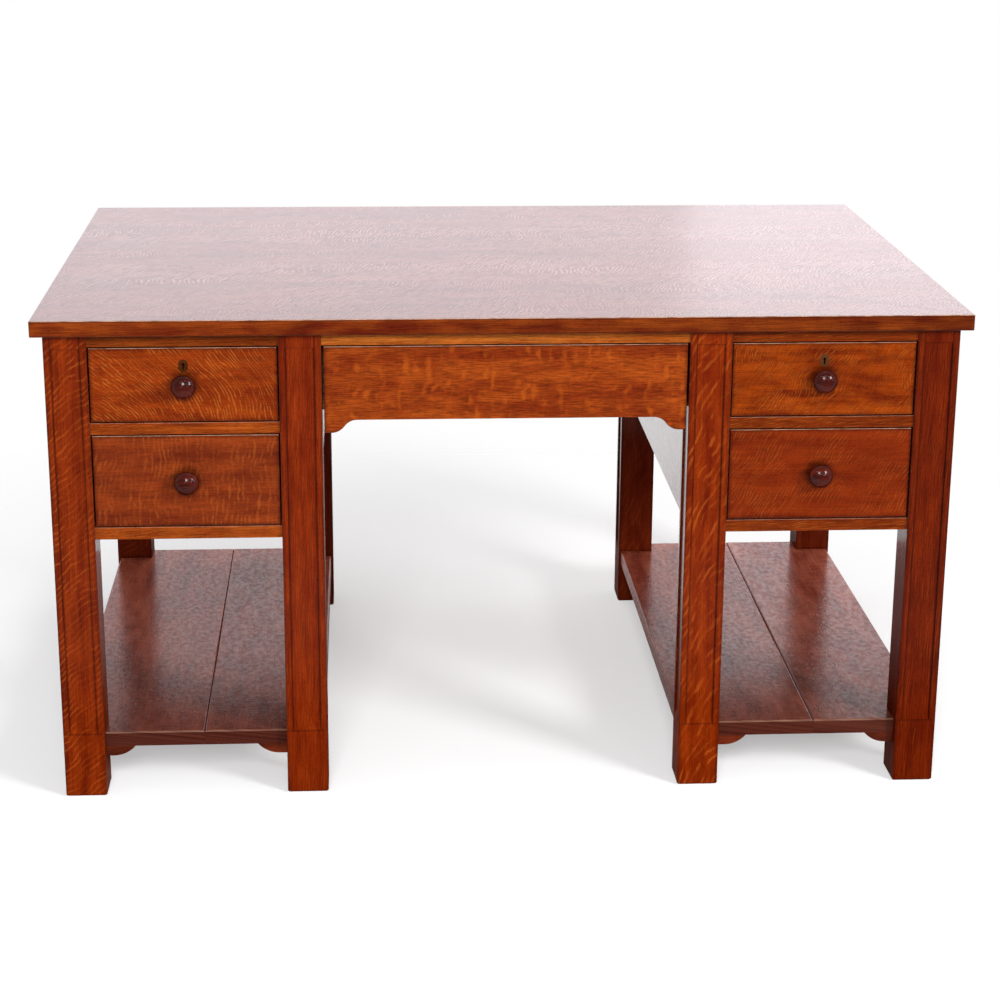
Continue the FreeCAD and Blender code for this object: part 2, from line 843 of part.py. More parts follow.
def make_front(shop, name, corners, ogees=()):
    """A drawer front from its outline, with a softened face."""
    body = shop.body(name + "FrontBody")
    face = shop.sketch(body, name + "FrontOutline", "XZ_Plane", "-face_end")
    shop.outline(face, corners, ogees)
    blank = shop.pad(body, face, name + "FrontBlank", "front_thickness")
    plane = shop.value("face_end")
    shop.rounded(
        body,
        blank,
        name + "FrontArris",
        "front_arris",
        lambda points: all(near(point.y, plane) for point in points),
    )
    return body


def make_drawer_box(shop, name, half_width, foot, head, tails):
    """Sides dovetailed into the front, a housed back and a grooved bottom."""
    inside = f"{half_width} - drawer_side_thickness"
    groove_edge = f"{inside} + drawer_groove"
    bottom_foot = f"{foot} + drawer_bottom_lift"
    bottom_head = f"{bottom_foot} + drawer_bottom_thickness"
    bottom = shop.board(
        name + "Bottom",
        (f"-({groove_edge})", groove_edge),
        ("drawer_end", "bottom_end"),
        (bottom_foot, bottom_head),
    )
    back = shop.board(
        name + "Back",
        (f"-({groove_edge})", groove_edge),
        ("drawer_end", "drawer_end + drawer_back_thickness"),
        (bottom_head, f"{head} - drawer_back_drop"),
    )
    blank = shop.board(
        name + "SideBlank", (inside, half_width), ("drawer_end", "dovetail_end"), (foot, head)
    )
    pins = []
    for number in range(tails + 1):
        pin = shop.doc.addObject("Part::Wedge", f"{name}Pin{number}")
        for path, formula in (
            ("Xmin", "0"),
            ("X2min", "0"),
            ("Xmax", "drawer_side_thickness"),
            ("X2max", "drawer_side_thickness"),
            ("Ymin", "0"),
            ("Ymax", "dovetail_length"),
            ("Zmin", "-dovetail_root / 2"),
            ("Zmax", "dovetail_root / 2"),
            ("Z2min", "-dovetail_tip / 2"),
            ("Z2max", "dovetail_tip / 2"),
        ):
            bind(pin, path, formula)
        place(pin, inside, "front_back", f"{foot} + ({head} - ({foot})) * {number} / {tails}")
        pins.append(pin)
    right_side = shop.cut(name + "RightSide", blank, pins + [bottom, back])
    left_side = shop.mirrored(name + "LeftSide", right_side, (1, 0, 0))
    return [left_side, right_side, back, bottom]


def make_knob(shop, name, height):
    """A turned mushroom knob: a cove, a rolled rim and a low dome, on a round tenon."""
    body = shop.body(name)
    place(body, y="face_end", z=height)
    body.Placement.Rotation = FreeCAD.Rotation(FreeCAD.Vector(1, 0, 0), -90)
    profile = shop.sketch(body, name + "Profile", "XZ_Plane")
    rim, radius = shop.value("knob_rim_radius"), shop.value("knob_radius")
    base, reach = shop.value("knob_base_radius"), shop.value("knob_projection")
    level = shop.value("knob_rim_projection")
    offset = base - radius + rim
    cove = (offset**2 + level**2 - rim**2) / (2 * (rim - offset))
    rise, inset = reach - level, radius - rim
    dome = (inset**2 + rise**2 - rim**2) / (2 * (rise - rim))
    rim_centre = FreeCAD.Vector(inset, level, 0)
    cove_centre = FreeCAD.Vector(base + cove, 0, 0)
    dome_centre = FreeCAD.Vector(0, reach - dome, 0)
    cove_end = rim_centre + (cove_centre - rim_centre).normalize() * rim
    dome_end = rim_centre + (rim_centre - dome_centre).normalize() * rim
    base_corner = FreeCAD.Vector(base, 0, 0)
    crown = FreeCAD.Vector(0, reach, 0)

    def arc(centre, start, finish):
        """The shorter arc about a centre from one point to another."""
        bisector = ((start - centre).normalize() + (finish - centre).normalize()).normalize()
        return Part.Arc(start, centre + bisector * (start - centre).Length, finish)

    rim_side = rim_centre + FreeCAD.Vector(rim, 0, 0)
    tenon_radius, tenon_foot = shop.value("knob_tenon_radius"), shop.value("-front_thickness")
    tenon_corner = FreeCAD.Vector(tenon_radius, tenon_foot, 0)
    tenon_head = FreeCAD.Vector(tenon_radius, 0, 0)
    axis_foot = FreeCAD.Vector(0, tenon_foot, 0)
    edges = profile.addGeometry(
        [
            Part.LineSegment(axis_foot, tenon_corner),
            Part.LineSegment(tenon_corner, tenon_head),
            Part.LineSegment(tenon_head, base_corner),
            arc(cove_centre, base_corner, cove_end),
            Part.Arc(cove_end, rim_side, dome_end),
            arc(dome_centre, dome_end, crown),
            Part.LineSegment(crown, axis_foot),
        ]
    )
    points = [axis_foot, tenon_corner, tenon_head, base_corner, cove_end, dome_end, crown]
    starts = [shop.end_at(profile, edge, point) for edge, point in zip(edges, points)]
    for index, kind in enumerate(("", "", "", "", "Tangent", "Tangent", "")):
        joint = (edges[index - 1], 3 - starts[index - 1], edges[index], starts[index])
        profile.addConstraint(Sketcher.Constraint(kind or "Coincident", *joint))
    corners = {
        0: ("0", "-front_thickness"),
        1: ("knob_tenon_radius", "-front_thickness"),
        2: ("knob_tenon_radius", "0"),
        3: ("knob_base_radius", "0"),
        6: ("0", "knob_projection"),
    }
    for index, corner in corners.items():
        shop.pin(profile, edges[index], starts[index], corner)
    shop.pin(profile, edges[4], 3, ("knob_rim_centre", "knob_rim_projection"))
    rim_size = profile.addConstraint(Sketcher.Constraint("Radius", edges[4], rim))
    profile.setExpression(f"Constraints[{rim_size}]", qualified("knob_rim_radius"))
    profile.addConstraint(Sketcher.Constraint("PointOnObject", edges[3], 3, -1))
    profile.addConstraint(Sketcher.Constraint("PointOnObject", edges[5], 3, -2))
    turned = body.newObject("PartDesign::Revolution", name + "Turning")
    turned.Profile = profile
    turned.ReferenceAxis = (profile, ["V_Axis"])
    turned.Angle = 360
    body.Tip = turned
    return body


def make_lock(shop):
    """A keyhole shape, an oval escutcheon, a lock let into the front, and its bolt."""
    pin_hole = shop.doc.addObject("Part::Cylinder", "KeyholeRound")
    bind(pin_hole, "Radius", "keyhole_radius")
    bind(pin_hole, "Height", "front_thickness")
    place(pin_hole, "0", "bolt_middle", "keyhole_height")
    pin_hole.Placement.Rotation = FreeCAD.Rotation(FreeCAD.Vector(1, 0, 0), -90)
    slot = shop.board(
        "KeyholeSlot",
        ("-keyhole_slot_width / 2", "keyhole_slot_width / 2"),
        ("bolt_middle", "bolt_middle + front_thickness"),
        ("keyhole_height - keyhole_slot_length", "keyhole_height"),
    )
    keyhole = shop.doc.addObject("Part::Fuse", "Keyhole")
    keyhole.Base, keyhole.Tool = pin_hole, slot
    oval = shop.doc.addObject("Part::Cylinder", "EscutcheonEnd")
    bind(oval, "Radius", "escutcheon_width / 2")
    bind(oval, "Height", "escutcheon_thickness")
    oval.Placement.Rotation = FreeCAD.Rotation(FreeCAD.Vector(1, 0, 0), -90)
    low_oval = shop.doc.addObject("Part::Cylinder", "EscutcheonFoot")
    bind(low_oval, "Radius", "escutcheon_width / 2")
    bind(low_oval, "Height", "escutcheon_thickness")
    low_oval.Placement.Rotation = FreeCAD.Rotation(FreeCAD.Vector(1, 0, 0), -90)
    reach = "(escutcheon_height - escutcheon_width) / 2"
    plate_back = "escutcheon_face - escutcheon_thickness"
    place(oval, "0", plate_back, f"escutcheon_middle + {reach}")
    place(low_oval, "0", plate_back, f"escutcheon_middle - {reach}")
    waist = shop.board(
        "EscutcheonWaist",
        ("-escutcheon_width / 2", "escutcheon_width / 2"),
        (plate_back, "escutcheon_face"),
        (f"escutcheon_middle - {reach}", f"escutcheon_middle + {reach}"),
    )
    plate = shop.doc.addObject("Part::MultiFuse", "EscutcheonPlate")
    plate.Shapes = [oval, low_oval, waist]
    escutcheon = shop.cut("Escutcheon", plate, [keyhole])
    case = shop.board(
        "LockCaseBlock",
        ("-lock_width / 2", "lock_width / 2"),
        ("front_back", "lock_end"),
        ("lock_foot", "upper_front_head"),
    )
    cap = shop.board(
        "LockCap",
        ("-lock_width / 2 - lock_plate_margin", "lock_width / 2 + lock_plate_margin"),
        ("front_back - lock_plate_thickness", "front_back"),
        ("lock_foot", "upper_front_head"),
    )
    case_and_cap = shop.doc.addObject("Part::Fuse", "LockBlock")
    case_and_cap.Base, case_and_cap.Tool = case, cap
    bolt_slot = shop.board(
        "BoltSlot",
        ("-bolt_width / 2 - bolt_clearance", "bolt_width / 2 + bolt_clearance"),
        (
            "bolt_middle - bolt_thickness / 2 - bolt_clearance",
            "bolt_middle + bolt_thickness / 2 + bolt_clearance",
        ),
        ("bolt_slot_foot", "upper_front_head"),
    )
    lock = shop.cut("LockCase", case_and_cap, [keyhole, bolt_slot])
    bolt = shop.board(
        "Bolt",
        ("-bolt_width / 2", "bolt_width / 2"),
        ("bolt_middle - bolt_thickness / 2", "bolt_middle + bolt_thickness / 2"),
        ("upper_front_head - bolt_length", "upper_front_head"),
    )
    return {
        "keyhole": keyhole,
        "plate": plate,
        "case": case,
        "lock": [escutcheon, lock],
        "bolt": bolt,
    }


def eared_outline():
    """The kneehole drawer front: an ear at each end, joined to the lower edge by an ogee."""
    right = [
        ("ear_curve_end", "kneehole_front_foot"),
        ("ear_flat_end", "ear_foot"),
        ("kneehole_front_half", "ear_foot"),
        ("kneehole_front_half", "kneehole_front_head"),
    ]
    left = [("-" + x, z) for x, z in reversed(right)]
    return right + left


def place_drawer(shop, pieces, name, side, end):
    """Sets a drawer's pieces in one opening of the desk."""
    for piece_name, piece in pieces.items():
        label = f"{name}_{piece_name}"
        copy = shop.group("Placed_" + label, [piece])
        bind(copy, "Placement.Base.x", f"{side} * pedestal_middle")
        if end < 0:
            copy.Placement.Rotation = FreeCAD.Rotation(FreeCAD.Vector(0, 0, 1), 180)
        shop.keep(copy, label)


def make_drawers(shop):
    """Upper, lower and kneehole drawers, drawn in the middle of the desk and then placed."""
    openings = {
        "upper": ("upper_opening_foot", "top_rail_foot", 3),
        "lower": ("lower_opening_foot", "lower_opening_head", 4),
    }
    for level, (foot, head, tails) in openings.items():
        box = make_drawer_box(
            shop,
            level,
            "front_half",
            f"{foot} + running_clearance",
            f"{head} - drawer_side_drop",
            tails,
        )
        knob = make_knob(shop, level + "Knob", level + "_knob_height")
        blank = make_front(
            shop, level, rectangle("front_half", f"{level}_front_foot", f"{level}_front_head")
        )
        left_side, right_side, _, bottom = box
        housed = [knob, left_side, right_side, bottom]
        pieces = {"box": shop.group(level + "Box", box), "knob": knob}
        if level == "upper":
            fittings = make_lock(shop)
            housed += [fittings[part] for part in ("keyhole", "plate", "case")]
            pieces["lock"] = shop.group("Lock", fittings["lock"])
            pieces["bolt"] = fittings["bolt"]
        pieces["front"] = shop.cut(level + "Front", blank, housed)
        for side, end in QUARTERS:
            name = f"{END_NAMES[end]}_{SIDE_NAMES[side]}_{level}_drawer"
            place_drawer(shop, pieces, name, side, end)
    box = make_drawer_box(
        shop,
        "kneehole",
        "kneehole_front_half",
        "kneehole_runner_head + running_clearance",
        "top_rail_foot - drawer_side_drop",
        3,
    )
    blank = make_front(shop, "kneehole", eared_outline(), ogees=(0, 6))
    left_side, right_side, _, bottom = box
    pieces = {
        "box": shop.group("kneeholeBox", box),
        "front": shop.cut("kneeholeFront", blank, [left_side, right_side, bottom]),
    }
    for end in (-1, 1):
        place_drawer(shop, pieces, f"{END_NAMES[end]}_kneehole_drawer", 0, end)


# ---- checking and writing ---------------------------------------------------------------


def check(shop):
    """Stops where an object failed or a sub-part has no sound solid."""
    faults = [
        item.Name
        for item in shop.doc.Objects
        if "Invalid" in item.State or "Error" in item.State
    ]
    for piece in shop.sub_parts:
        if piece.Shape.isNull() or not piece.Shape.isValid() or not piece.Shape.Solids:
            faults.append(piece.Label)
    if faults:
        raise RuntimeError("these objects did not build: " + ", ".join(faults))


def write(shop):
    """Writes each sub-part to a STEP file with the sub-part's name."""
    os.makedirs("parts", exist_ok=True)
    for piece in shop.sub_parts:
        piece.Shape.exportStep(f"parts/{piece.Label}.step")
        print(f"{piece.Label}: {len(piece.Shape.Solids)} solid(s)")


def main():
    shop = Workshop()
    make_top(shop)
    pedestal_rails, knee_rail = make_rails(shop)
    panels = make_panels(shop)
    make_posts(shop, pedestal_rails, knee_rail, panels)
    make_running_gear(shop)
    make_glue_blocks(shop)
    make_shelves(shop)
    make_brackets(shop)
    make_drawers(shop)
    shop.doc.recompute()
    check(shop)
    write(shop)


main()
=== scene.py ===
"""The looks of a partners desk in quarter-sawn oak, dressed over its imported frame.

Every length is in metres in the desk's own frame: the floor is z = 0, the desk's middle is
x = y = 0 and the near long side faces -Y. Where a class keeps a length in millimetres, its
docstring says so.
"""

import json
import logging
import math
from dataclasses import dataclass, field, replace
from enum import Enum

import bpy
import numpy as np
from mathutils import Matrix, Vector

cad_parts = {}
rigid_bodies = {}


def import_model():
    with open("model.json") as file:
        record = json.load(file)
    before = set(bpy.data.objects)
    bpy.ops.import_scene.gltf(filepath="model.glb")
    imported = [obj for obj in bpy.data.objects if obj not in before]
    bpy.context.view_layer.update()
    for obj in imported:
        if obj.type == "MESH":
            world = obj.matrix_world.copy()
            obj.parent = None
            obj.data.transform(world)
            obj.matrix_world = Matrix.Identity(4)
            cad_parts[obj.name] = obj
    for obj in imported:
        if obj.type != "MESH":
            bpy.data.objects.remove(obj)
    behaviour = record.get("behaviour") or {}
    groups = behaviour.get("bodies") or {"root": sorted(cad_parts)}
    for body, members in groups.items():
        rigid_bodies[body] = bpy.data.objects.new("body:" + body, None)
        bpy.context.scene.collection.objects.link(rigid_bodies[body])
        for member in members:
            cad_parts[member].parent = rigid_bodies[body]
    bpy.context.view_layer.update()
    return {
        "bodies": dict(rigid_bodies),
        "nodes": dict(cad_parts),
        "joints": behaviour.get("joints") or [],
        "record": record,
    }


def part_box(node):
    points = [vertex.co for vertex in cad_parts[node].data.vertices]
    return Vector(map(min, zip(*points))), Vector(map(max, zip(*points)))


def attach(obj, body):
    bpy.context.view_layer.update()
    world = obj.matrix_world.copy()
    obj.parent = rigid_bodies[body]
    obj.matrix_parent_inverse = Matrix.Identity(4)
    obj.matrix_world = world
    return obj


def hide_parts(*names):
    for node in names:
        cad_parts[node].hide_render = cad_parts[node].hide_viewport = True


Socket = bpy.types.NodeSocket
Tree = bpy.types.NodeTree

LOG = logging.getLogger("desk")
MM = 0.001
FACE_END = 464.0 * MM

# A post's sunk panel: half its width, where its ramp starts, and where painted shade lies along
# the ramp.
SUNK_HALF = 21.5 * MM
SUNK_FOOT = 103.5 * MM
SUNK_SHADE_LEVEL = SUNK_FOOT + 1.0 * MM

# The option by which each kind of node is told what to do.
MODE_OPTIONS = {
    "Math": "operation",
    "VectorMath": "operation",
    "MapRange": "interpolation_type",
    "Mapping": "vector_type",
    "Mix": "data_type",
}

# What dirt and painted shade darken the stained wood to, and the painted highlight's colour.
DIRT_AND_SHADE_COLOUR = "#1c0a06"
PAINTED_HIGHLIGHT_COLOUR = "#e8bca0"

# Blotches, by their length and width in millimetres.
PORE_SIZE, CLOUD_SIZE, BAND_LENGTH = (7.0, 0.5), (60.0, 22.0), 420.0
DIRT_SIZE, HIGHLIGHT_BLOTCH_SIZE, WORN_SIZE = (18.0, 9.0), (24.0, 24.0), (12.0, 8.0)
DENT_SIZE, RIPPLE_SIZE = (9.0, 7.0), (6.0, 70.0)

# From where a pattern's noise starts to show, and where it shows in full.
PORES_SHOW, LINES_SHOW, BANDS_SHOW = (0.60, 0.72), (0.35, 0.65), (0.36, 0.64)
CLOUD_SHOWS, PATCH_SHOWS = (0.35, 0.65), (0.40, 0.60)
DIRT_SHOWS, HIGHLIGHT_SHOWS, WEAR_SHOWS = (0.58, 0.80), (0.35, 0.60), (0.38, 0.62)
DENTS_SHOW = (0.66, 0.76)

# The share of the surface's direction from which a face counts as quartered, as end grain,
# or as part of an arris, and where it counts in full. A crossed board's face is past a limit.
FACE_TURN, END_TURN, ARRIS_TURN, CROSSED_TURN = (0.4, 0.9), (0.5, 0.9), (0.15, 0.4), 0.7
# Between these shares of a glancing look, the coat grows to its full weight.
COAT_TURN = (0.05, 0.6)

# How wide the board's slow sway is beside its length, and how much further it goes along.
SWAY_WIDTH, SWAY_STRETCH = 0.4, 1.5
# The patches in which flecks wander, and the pieces that they break into, in shares of a
# fleck's length and spacing. Cover moves the noise's level where they break.
WANDER_SIZE, PIECE_SIZE = (0.8, 4.0), (1 / 1.3, 1.1)
COVER_SHARE, BREAK_SHOWS = 0.16, (-0.06, 0.12)
# A bold board's flecks thin out over this margin, to this share on the rest.
BOLD_MARGIN, REST_SHARE = 0.02, 0.7

# How much light and dark the growth lines and the pores give, and how much smoother a fleck is.
LINE_TONE, PORE_TONE, FLECK_ROUGHNESS = 1.12, 0.62, 0.7
# How strongly and how deeply the coat's surface follows the wood below it.
FILM_STRENGTH, FILM_DEPTH = 0.5, 0.35
# How high the lines stand beside the flecks, the height's mean, and a ripple's share in it.
LINE_HEIGHT, MEAN_HEIGHT, RIPPLE_MEAN = 0.5, 0.45, 0.5
# A pattern's height dies away between these distances from a seam.
SEAM_FADE = (0.2 * MM, 1.0 * MM)

# Dirt along an edge, in shares of its width, and the darker ring round a knob: how ragged
# the line is, where it starts to thin and where it ends.
EDGE_DIRT = (-1.2, -0.5, 1.0)
KNOB_RING = (-14 * MM, 8 * MM, 22 * MM)
# Painted shade in a sunk panel, beside the wall and at the ramp: where it thins and where it ends.
WALL_SHADE, RAMP_SHADE = (0.5 * MM, 2.2 * MM), (0.4 * MM, 2.0 * MM)
# How dark the ramp's painted shade is beside the wall's, all of a panel's painted shade, and the
# patches of dirt elsewhere beside the edges. The painted highlight is nowhere less than its least
# share.
RAMP_SHARE, CORNER_SHARE, PATCH_DIRT, HIGHLIGHT_LEAST = 0.8, 0.55, 0.25, 0.35

# The scale at which a wave texture has one wave to a unit.
ONE_WAVE = math.tau / 20
# How far the patterns of two nodes are set apart, and those of two boards of one node.
NODE_STRIDE, BOARD_STRIDE = 11.0, 7.31
# The radius at which bent flecks keep their own length.
BEND_RADIUS = math.hypot(0.3, 0.2)


class Axis(Enum):
    """The three directions of the desk's frame, by their place in a vector."""

    X = 0
    Y = 1
    Z = 2


def linear(colour: str) -> tuple[float, float, float, float]:
    """Turns an sRGB hex colour into the linear colour that shaders take.

    Args:
        colour: six hex digits after a hash, such as "#7a2c12".

    Returns:
        Red, green and blue in linear light, and an alpha of one.
    """
    channels = (int(colour[place : place + 2], 16) / 255 for place in (1, 3, 5))
    red, green, blue = (
        channel / 12.92 if channel <= 0.04045 else ((channel + 0.055) / 1.055) ** 2.4
        for channel in channels
    )
    return red, green, blue, 1.0


def add_node(
    tree: Tree, kind: str, inputs: dict | tuple = (), mode: str | None = None, **settings: str
) -> Socket:
    """Adds one shader node with its settings, and fills or links its inputs.

    Args:
        tree: the node tree that gets the node.
        kind: the node's class name after "ShaderNode".
        inputs: the socket or the value for each input, in order or by its name or number.
        mode: what the node does, for a kind that has a mode option.
        settings: the node's other options.

    Returns:
        The node's first output in use.
    """
    node = tree.nodes.new("ShaderNode" + kind)
    if mode:
        settings[MODE_OPTIONS[kind]] = mode
    for option, value in settings.items():
        setattr(node, option, value)
    for socket, value in inputs.items() if isinstance(inputs, dict) else enumerate(inputs):
        if isinstance(value, Socket):
            tree.links.new(value, node.inputs[socket])
        else:
            node.inputs[socket].default_value = value
    return next((output for output in node.outputs if output.enabled), None)


def new_tree(name: str) -> tuple[bpy.types.Material, Tree]:
    """Makes an empty node material.

    Args:
        name: the material's name.

    Returns:
        The material and its cleared node tree.
    """
    material = bpy.data.materials.new(name)
    material.use_nodes = True
    material.node_tree.nodes.clear()
    return material, material.node_tree


def link_object(name: str, data: bpy.types.ID) -> bpy.types.Object:
    """Puts a mesh, a lamp or a camera into the scene.

    Args:
        name: the object's name.
        data: what the object holds.

    Returns:
        The linked object.
    """
    holder = bpy.data.objects.new(name, data)
    bpy.context.scene.collection.objects.link(holder)
    return holder


# ---- finishes ---------------------------------------------------------------------------


@dataclass(frozen=True)
class Figure:
    """How one board was sawn: its grain's direction and the ray flecks that its face shows.

    Rays are the pale, hard ribbons that quartering lays bare. The face is the one that was
    quartered, by the direction that it looks in, or None if the flecks run on round the board.
    Angles are in degrees from the grain and lengths in millimetres. Wrap says how fast the
    figure runs where it turns an arris. If a node is crossed, some of its boards lie the other
    way, and show their faces where the rest would show end grain. If the flecks bend, they run
    along circles about centre, in metres along and across the grain, and the angle is from
    those circles.
    """

    grain: Axis
    face: Axis | None = None
    angle: float = 40.0
    spacing: float = 6.0
    length: float = 50.0
    strength: float = 0.5
    fineness: float = 0.5
    cover: float = 0.5
    wander: float = 1.6
    sway: float = 25.0
    sway_length: float = 260.0
    patch_length: float = 90.0
    patch_width: float = 40.0
    patchiness: float = 0.6
    streak: float = 0.25
    line_length: float = 110.0
    line_width: float = 1.3
    band_width: float = 26.0
    wrap: float = 1.0
    crossed: bool = False
    centre: tuple[float, float] | None = None


@dataclass(frozen=True)
class Spot:
    """The point being shaded, as sockets of a material's node tree.

    It has the point's three coordinates, the surface's direction as three numbers, and the
    place on the board: along the grain, across it, and the board's number.
    """

    tree: Tree
    xyz: list[Socket]
    normal: list[Socket]
    board: Socket | None = None

    def distance(self, value: Socket, place: float) -> Socket:
        """Gives how far a value lies from a place, on either side."""
        off = add_node(self.tree, "Math", (value, place), "SUBTRACT")
        return add_node(self.tree, "Math", (off,), "ABSOLUTE")

    def blotches(
        self,
        size: tuple[float, float],
        detail: float,
        angle: float = 0.0,
        place: Socket | None = None,
    ) -> Socket:
        """Draws soft noise that is stretched to a size along and across the grain.

        Args:
            size: the length and width of a blotch in millimetres.
            detail: how many finer layers are laid over the blotches.
            angle: the blotches' turn from the grain, in degrees.
            place: the place that the noise is drawn at, if it isn't that on the board.

        Returns:
            The noise, about one half on the average.
        """
        inputs = {
            "Vector": self.board if place is None else place,
            "Scale": (size[0] * MM, size[1] * MM, 1.0),
            "Rotation": (0.0, 0.0, math.radians(angle)),
        }
        placed = add_node(self.tree, "Mapping", inputs, "TEXTURE")
        return add_node(self.tree, "TexNoise", {"Vector": placed, "Scale": 1.0, "Detail": detail})


@dataclass(frozen=True)
class Oak:
    """Quarter-sawn white oak, stained red-brown and brushed with gloss varnish.

    The eye gets straight fine growth lines, short open pores, pale ray flecks that cross the
    grain, cloudy bands where the stain took unevenly, dirt along the edges, painted shade in the
    corners of a post's sunk panels, a painted highlight on the upper arrises and a wet-looking
    coat over it all.

    The width of the grime and the depth of the bump are in millimetres. The halo is the middle,
    at x and z, of a darker ring round a knob. Sinking gives a post's middle in x and y and the
    signs of its outward sides, for the painted shade in its sunk panels. A fade is an axis, two
    places and the share of the colour left at the second, and a scuff the same with the share of
    the coat left at the first. Bold boards lie between two places along Y, and a step is where
    one board of the node ends and the next begins.
    """

    name: str
    dark: str
    light: str
    fleck: str
    figure: Figure
    grime: float = 0.45
    grime_width: float = 7.0
    grime_axes: tuple[Axis, ...] = ()
    halo: tuple[float, float] | None = None
    halo_strength: float = 0.6
    sinking: tuple[float, float, float, float] | None = None
    roughness: float = 0.38
    specular: float = 0.0
    coat: float = 1.0
    coat_facing: float = 0.4
    coat_roughness: float = 0.10
    coat_ior: float = 1.45
    dulling: float = 0.0
    # How strong the painted highlight on the upper arrises is: a pale line where the rounded arris
    # would catch the light.
    rub: float = 0.7
    end_tone: float = 1.0
    fade: tuple[Axis, float, float, float] | None = None
    bump: float = 0.12
    dents: float = 0.0
    ripple: float = 0.0
    scuff: tuple[Axis, float, float, float] | None = None
    worn: float = 0.0
    bold: tuple[tuple[float, float], ...] = ()
    seed: float = 0.0
    steps: tuple[tuple[Axis, float], ...] = ()

    def material(self, low: Vector, high: Vector) -> bpy.types.Material:
        """Builds the board's material.

        Args:
            low: the lowest corner of the board, for the dirt along its edges.
            high: the highest corner of the board.

        Returns:
            The finished material.
        """
        material, tree = new_tree(self.name)
        point = add_node(tree, "TexCoord").node.outputs
        xyz, normal = (
            list(add_node(tree, "SeparateXYZ", (point[kind],)).node.outputs)
            for kind in ("Object", "Normal")
        )
        spot = Spot(tree, xyz, normal)
        spot = replace(spot, board=self._on_board(spot))
        masks = self._masks(spot)
        fleck = masks["fleck"]
        colour = self._toned(spot, self._colour(tree, masks))
        # Dirt and painted shade darken the colour, and a painted highlight lightens the upper
        # arrises.
        blends = [(self._dirt(spot, low, high), DIRT_AND_SHADE_COLOUR)]
        if self.rub:
            blends.append((self._arris_highlight(spot), PAINTED_HIGHLIGHT_COLOUR))
        for share, tone in blends:
            colour = add_node(tree, "Mix", {0: share, 6: colour, 7: linear(tone)}, "RGBA")
        height = self._height(spot, masks)
        depth = self.bump * MM
        fine, film = (
            add_node(tree, "Bump", {"Height": height, "Strength": strength, "Distance": reach})
            for strength, reach in ((1.0, depth), (FILM_STRENGTH, FILM_DEPTH * depth))
        )
        smoother = FLECK_ROUGHNESS * self.roughness
        roughness = add_node(tree, "MapRange", {0: fleck, 3: self.roughness, 4: smoother})
        inputs = {
            "Base Color": colour,
            "Roughness": roughness,
            "Normal": fine,
            "Coat Normal": film,
            "IOR": 1.5,
            "Specular IOR Level": self.specular,
            "Coat Weight": self._gloss(spot, fleck) if self.coat else self.coat,
            "Coat Roughness": self.coat_roughness,
            "Coat IOR": self.coat_ior,
        }
        shader = add_node(tree, "BsdfPrincipled", inputs)
        add_node(tree, "OutputMaterial", {"Surface": shader})
        return material

    def _on_board(self, spot: Spot) -> Socket:
        """Gives the point's place on its board: along the grain, across it, and a number.

        The distance across is the sum of the two directions across, so that a figure runs on
        round an arris. The number sets boards of one node apart.

        Args:
            spot: the point being shaded.

        Returns:
            The place on the board as a vector.
        """
        tree, xyz = spot.tree, spot.xyz
        grain = self.figure.grain.value
        first, second = (place for place in range(3) if place != grain)
        across = (xyz[second], self.figure.wrap, xyz[first])
        across = add_node(tree, "Math", across, "MULTIPLY_ADD")
        along = xyz[grain]
        if self.figure.crossed:
            end = add_node(tree, "Math", (spot.normal[grain],), "ABSOLUTE")
            end = add_node(tree, "Math", (end, CROSSED_TURN), "GREATER_THAN")
            along = add_node(tree, "Mix", {0: end, 2: along, 3: xyz[first]})
            across = add_node(tree, "Mix", {0: end, 2: across, 3: xyz[second]})
        number = self.seed
        for axis, seam in self.steps:
            past = add_node(tree, "Math", (xyz[axis.value], seam), "GREATER_THAN")
            number = add_node(tree, "Math", (past, BOARD_STRIDE, number), "MULTIPLY_ADD")
        return add_node(tree, "CombineXYZ", (along, across, number))

    def _masks(self, spot: Spot) -> dict[str, Socket]:
        """Works out the board's patterns, each from zero to one.

        Args:
            spot: the point being shaded.

        Returns:
            The patterns by name: fleck, lines, pores, bands and cloud.
        """
        tree, figure = spot.tree, self.figure
        rays = self._bent(spot) if figure.centre else spot.board
        slow = (figure.sway_length, SWAY_WIDTH * figure.sway_length)
        drift = spot.blotches(slow, 1.0).node.outputs["Color"]
        reach = (SWAY_STRETCH * figure.sway * MM, figure.sway * MM, 0.0)
        swayed, swayed_rays = (
            add_node(tree, "VectorMath", (drift, reach, place), "MULTIPLY_ADD")
            for place in (spot.board, rays)
        )

        def pattern(
            size: tuple[float, float],
            band: tuple[float, float],
            detail: float = 2.0,
            place: Socket = swayed,
            angle: float = 0.0,
        ) -> Socket:
            """Draws blotches and keeps what lies past a band of their strength."""
            noise = spot.blotches(size, detail, angle, place)
            return add_node(tree, "MapRange", (noise, *band), "SMOOTHSTEP")

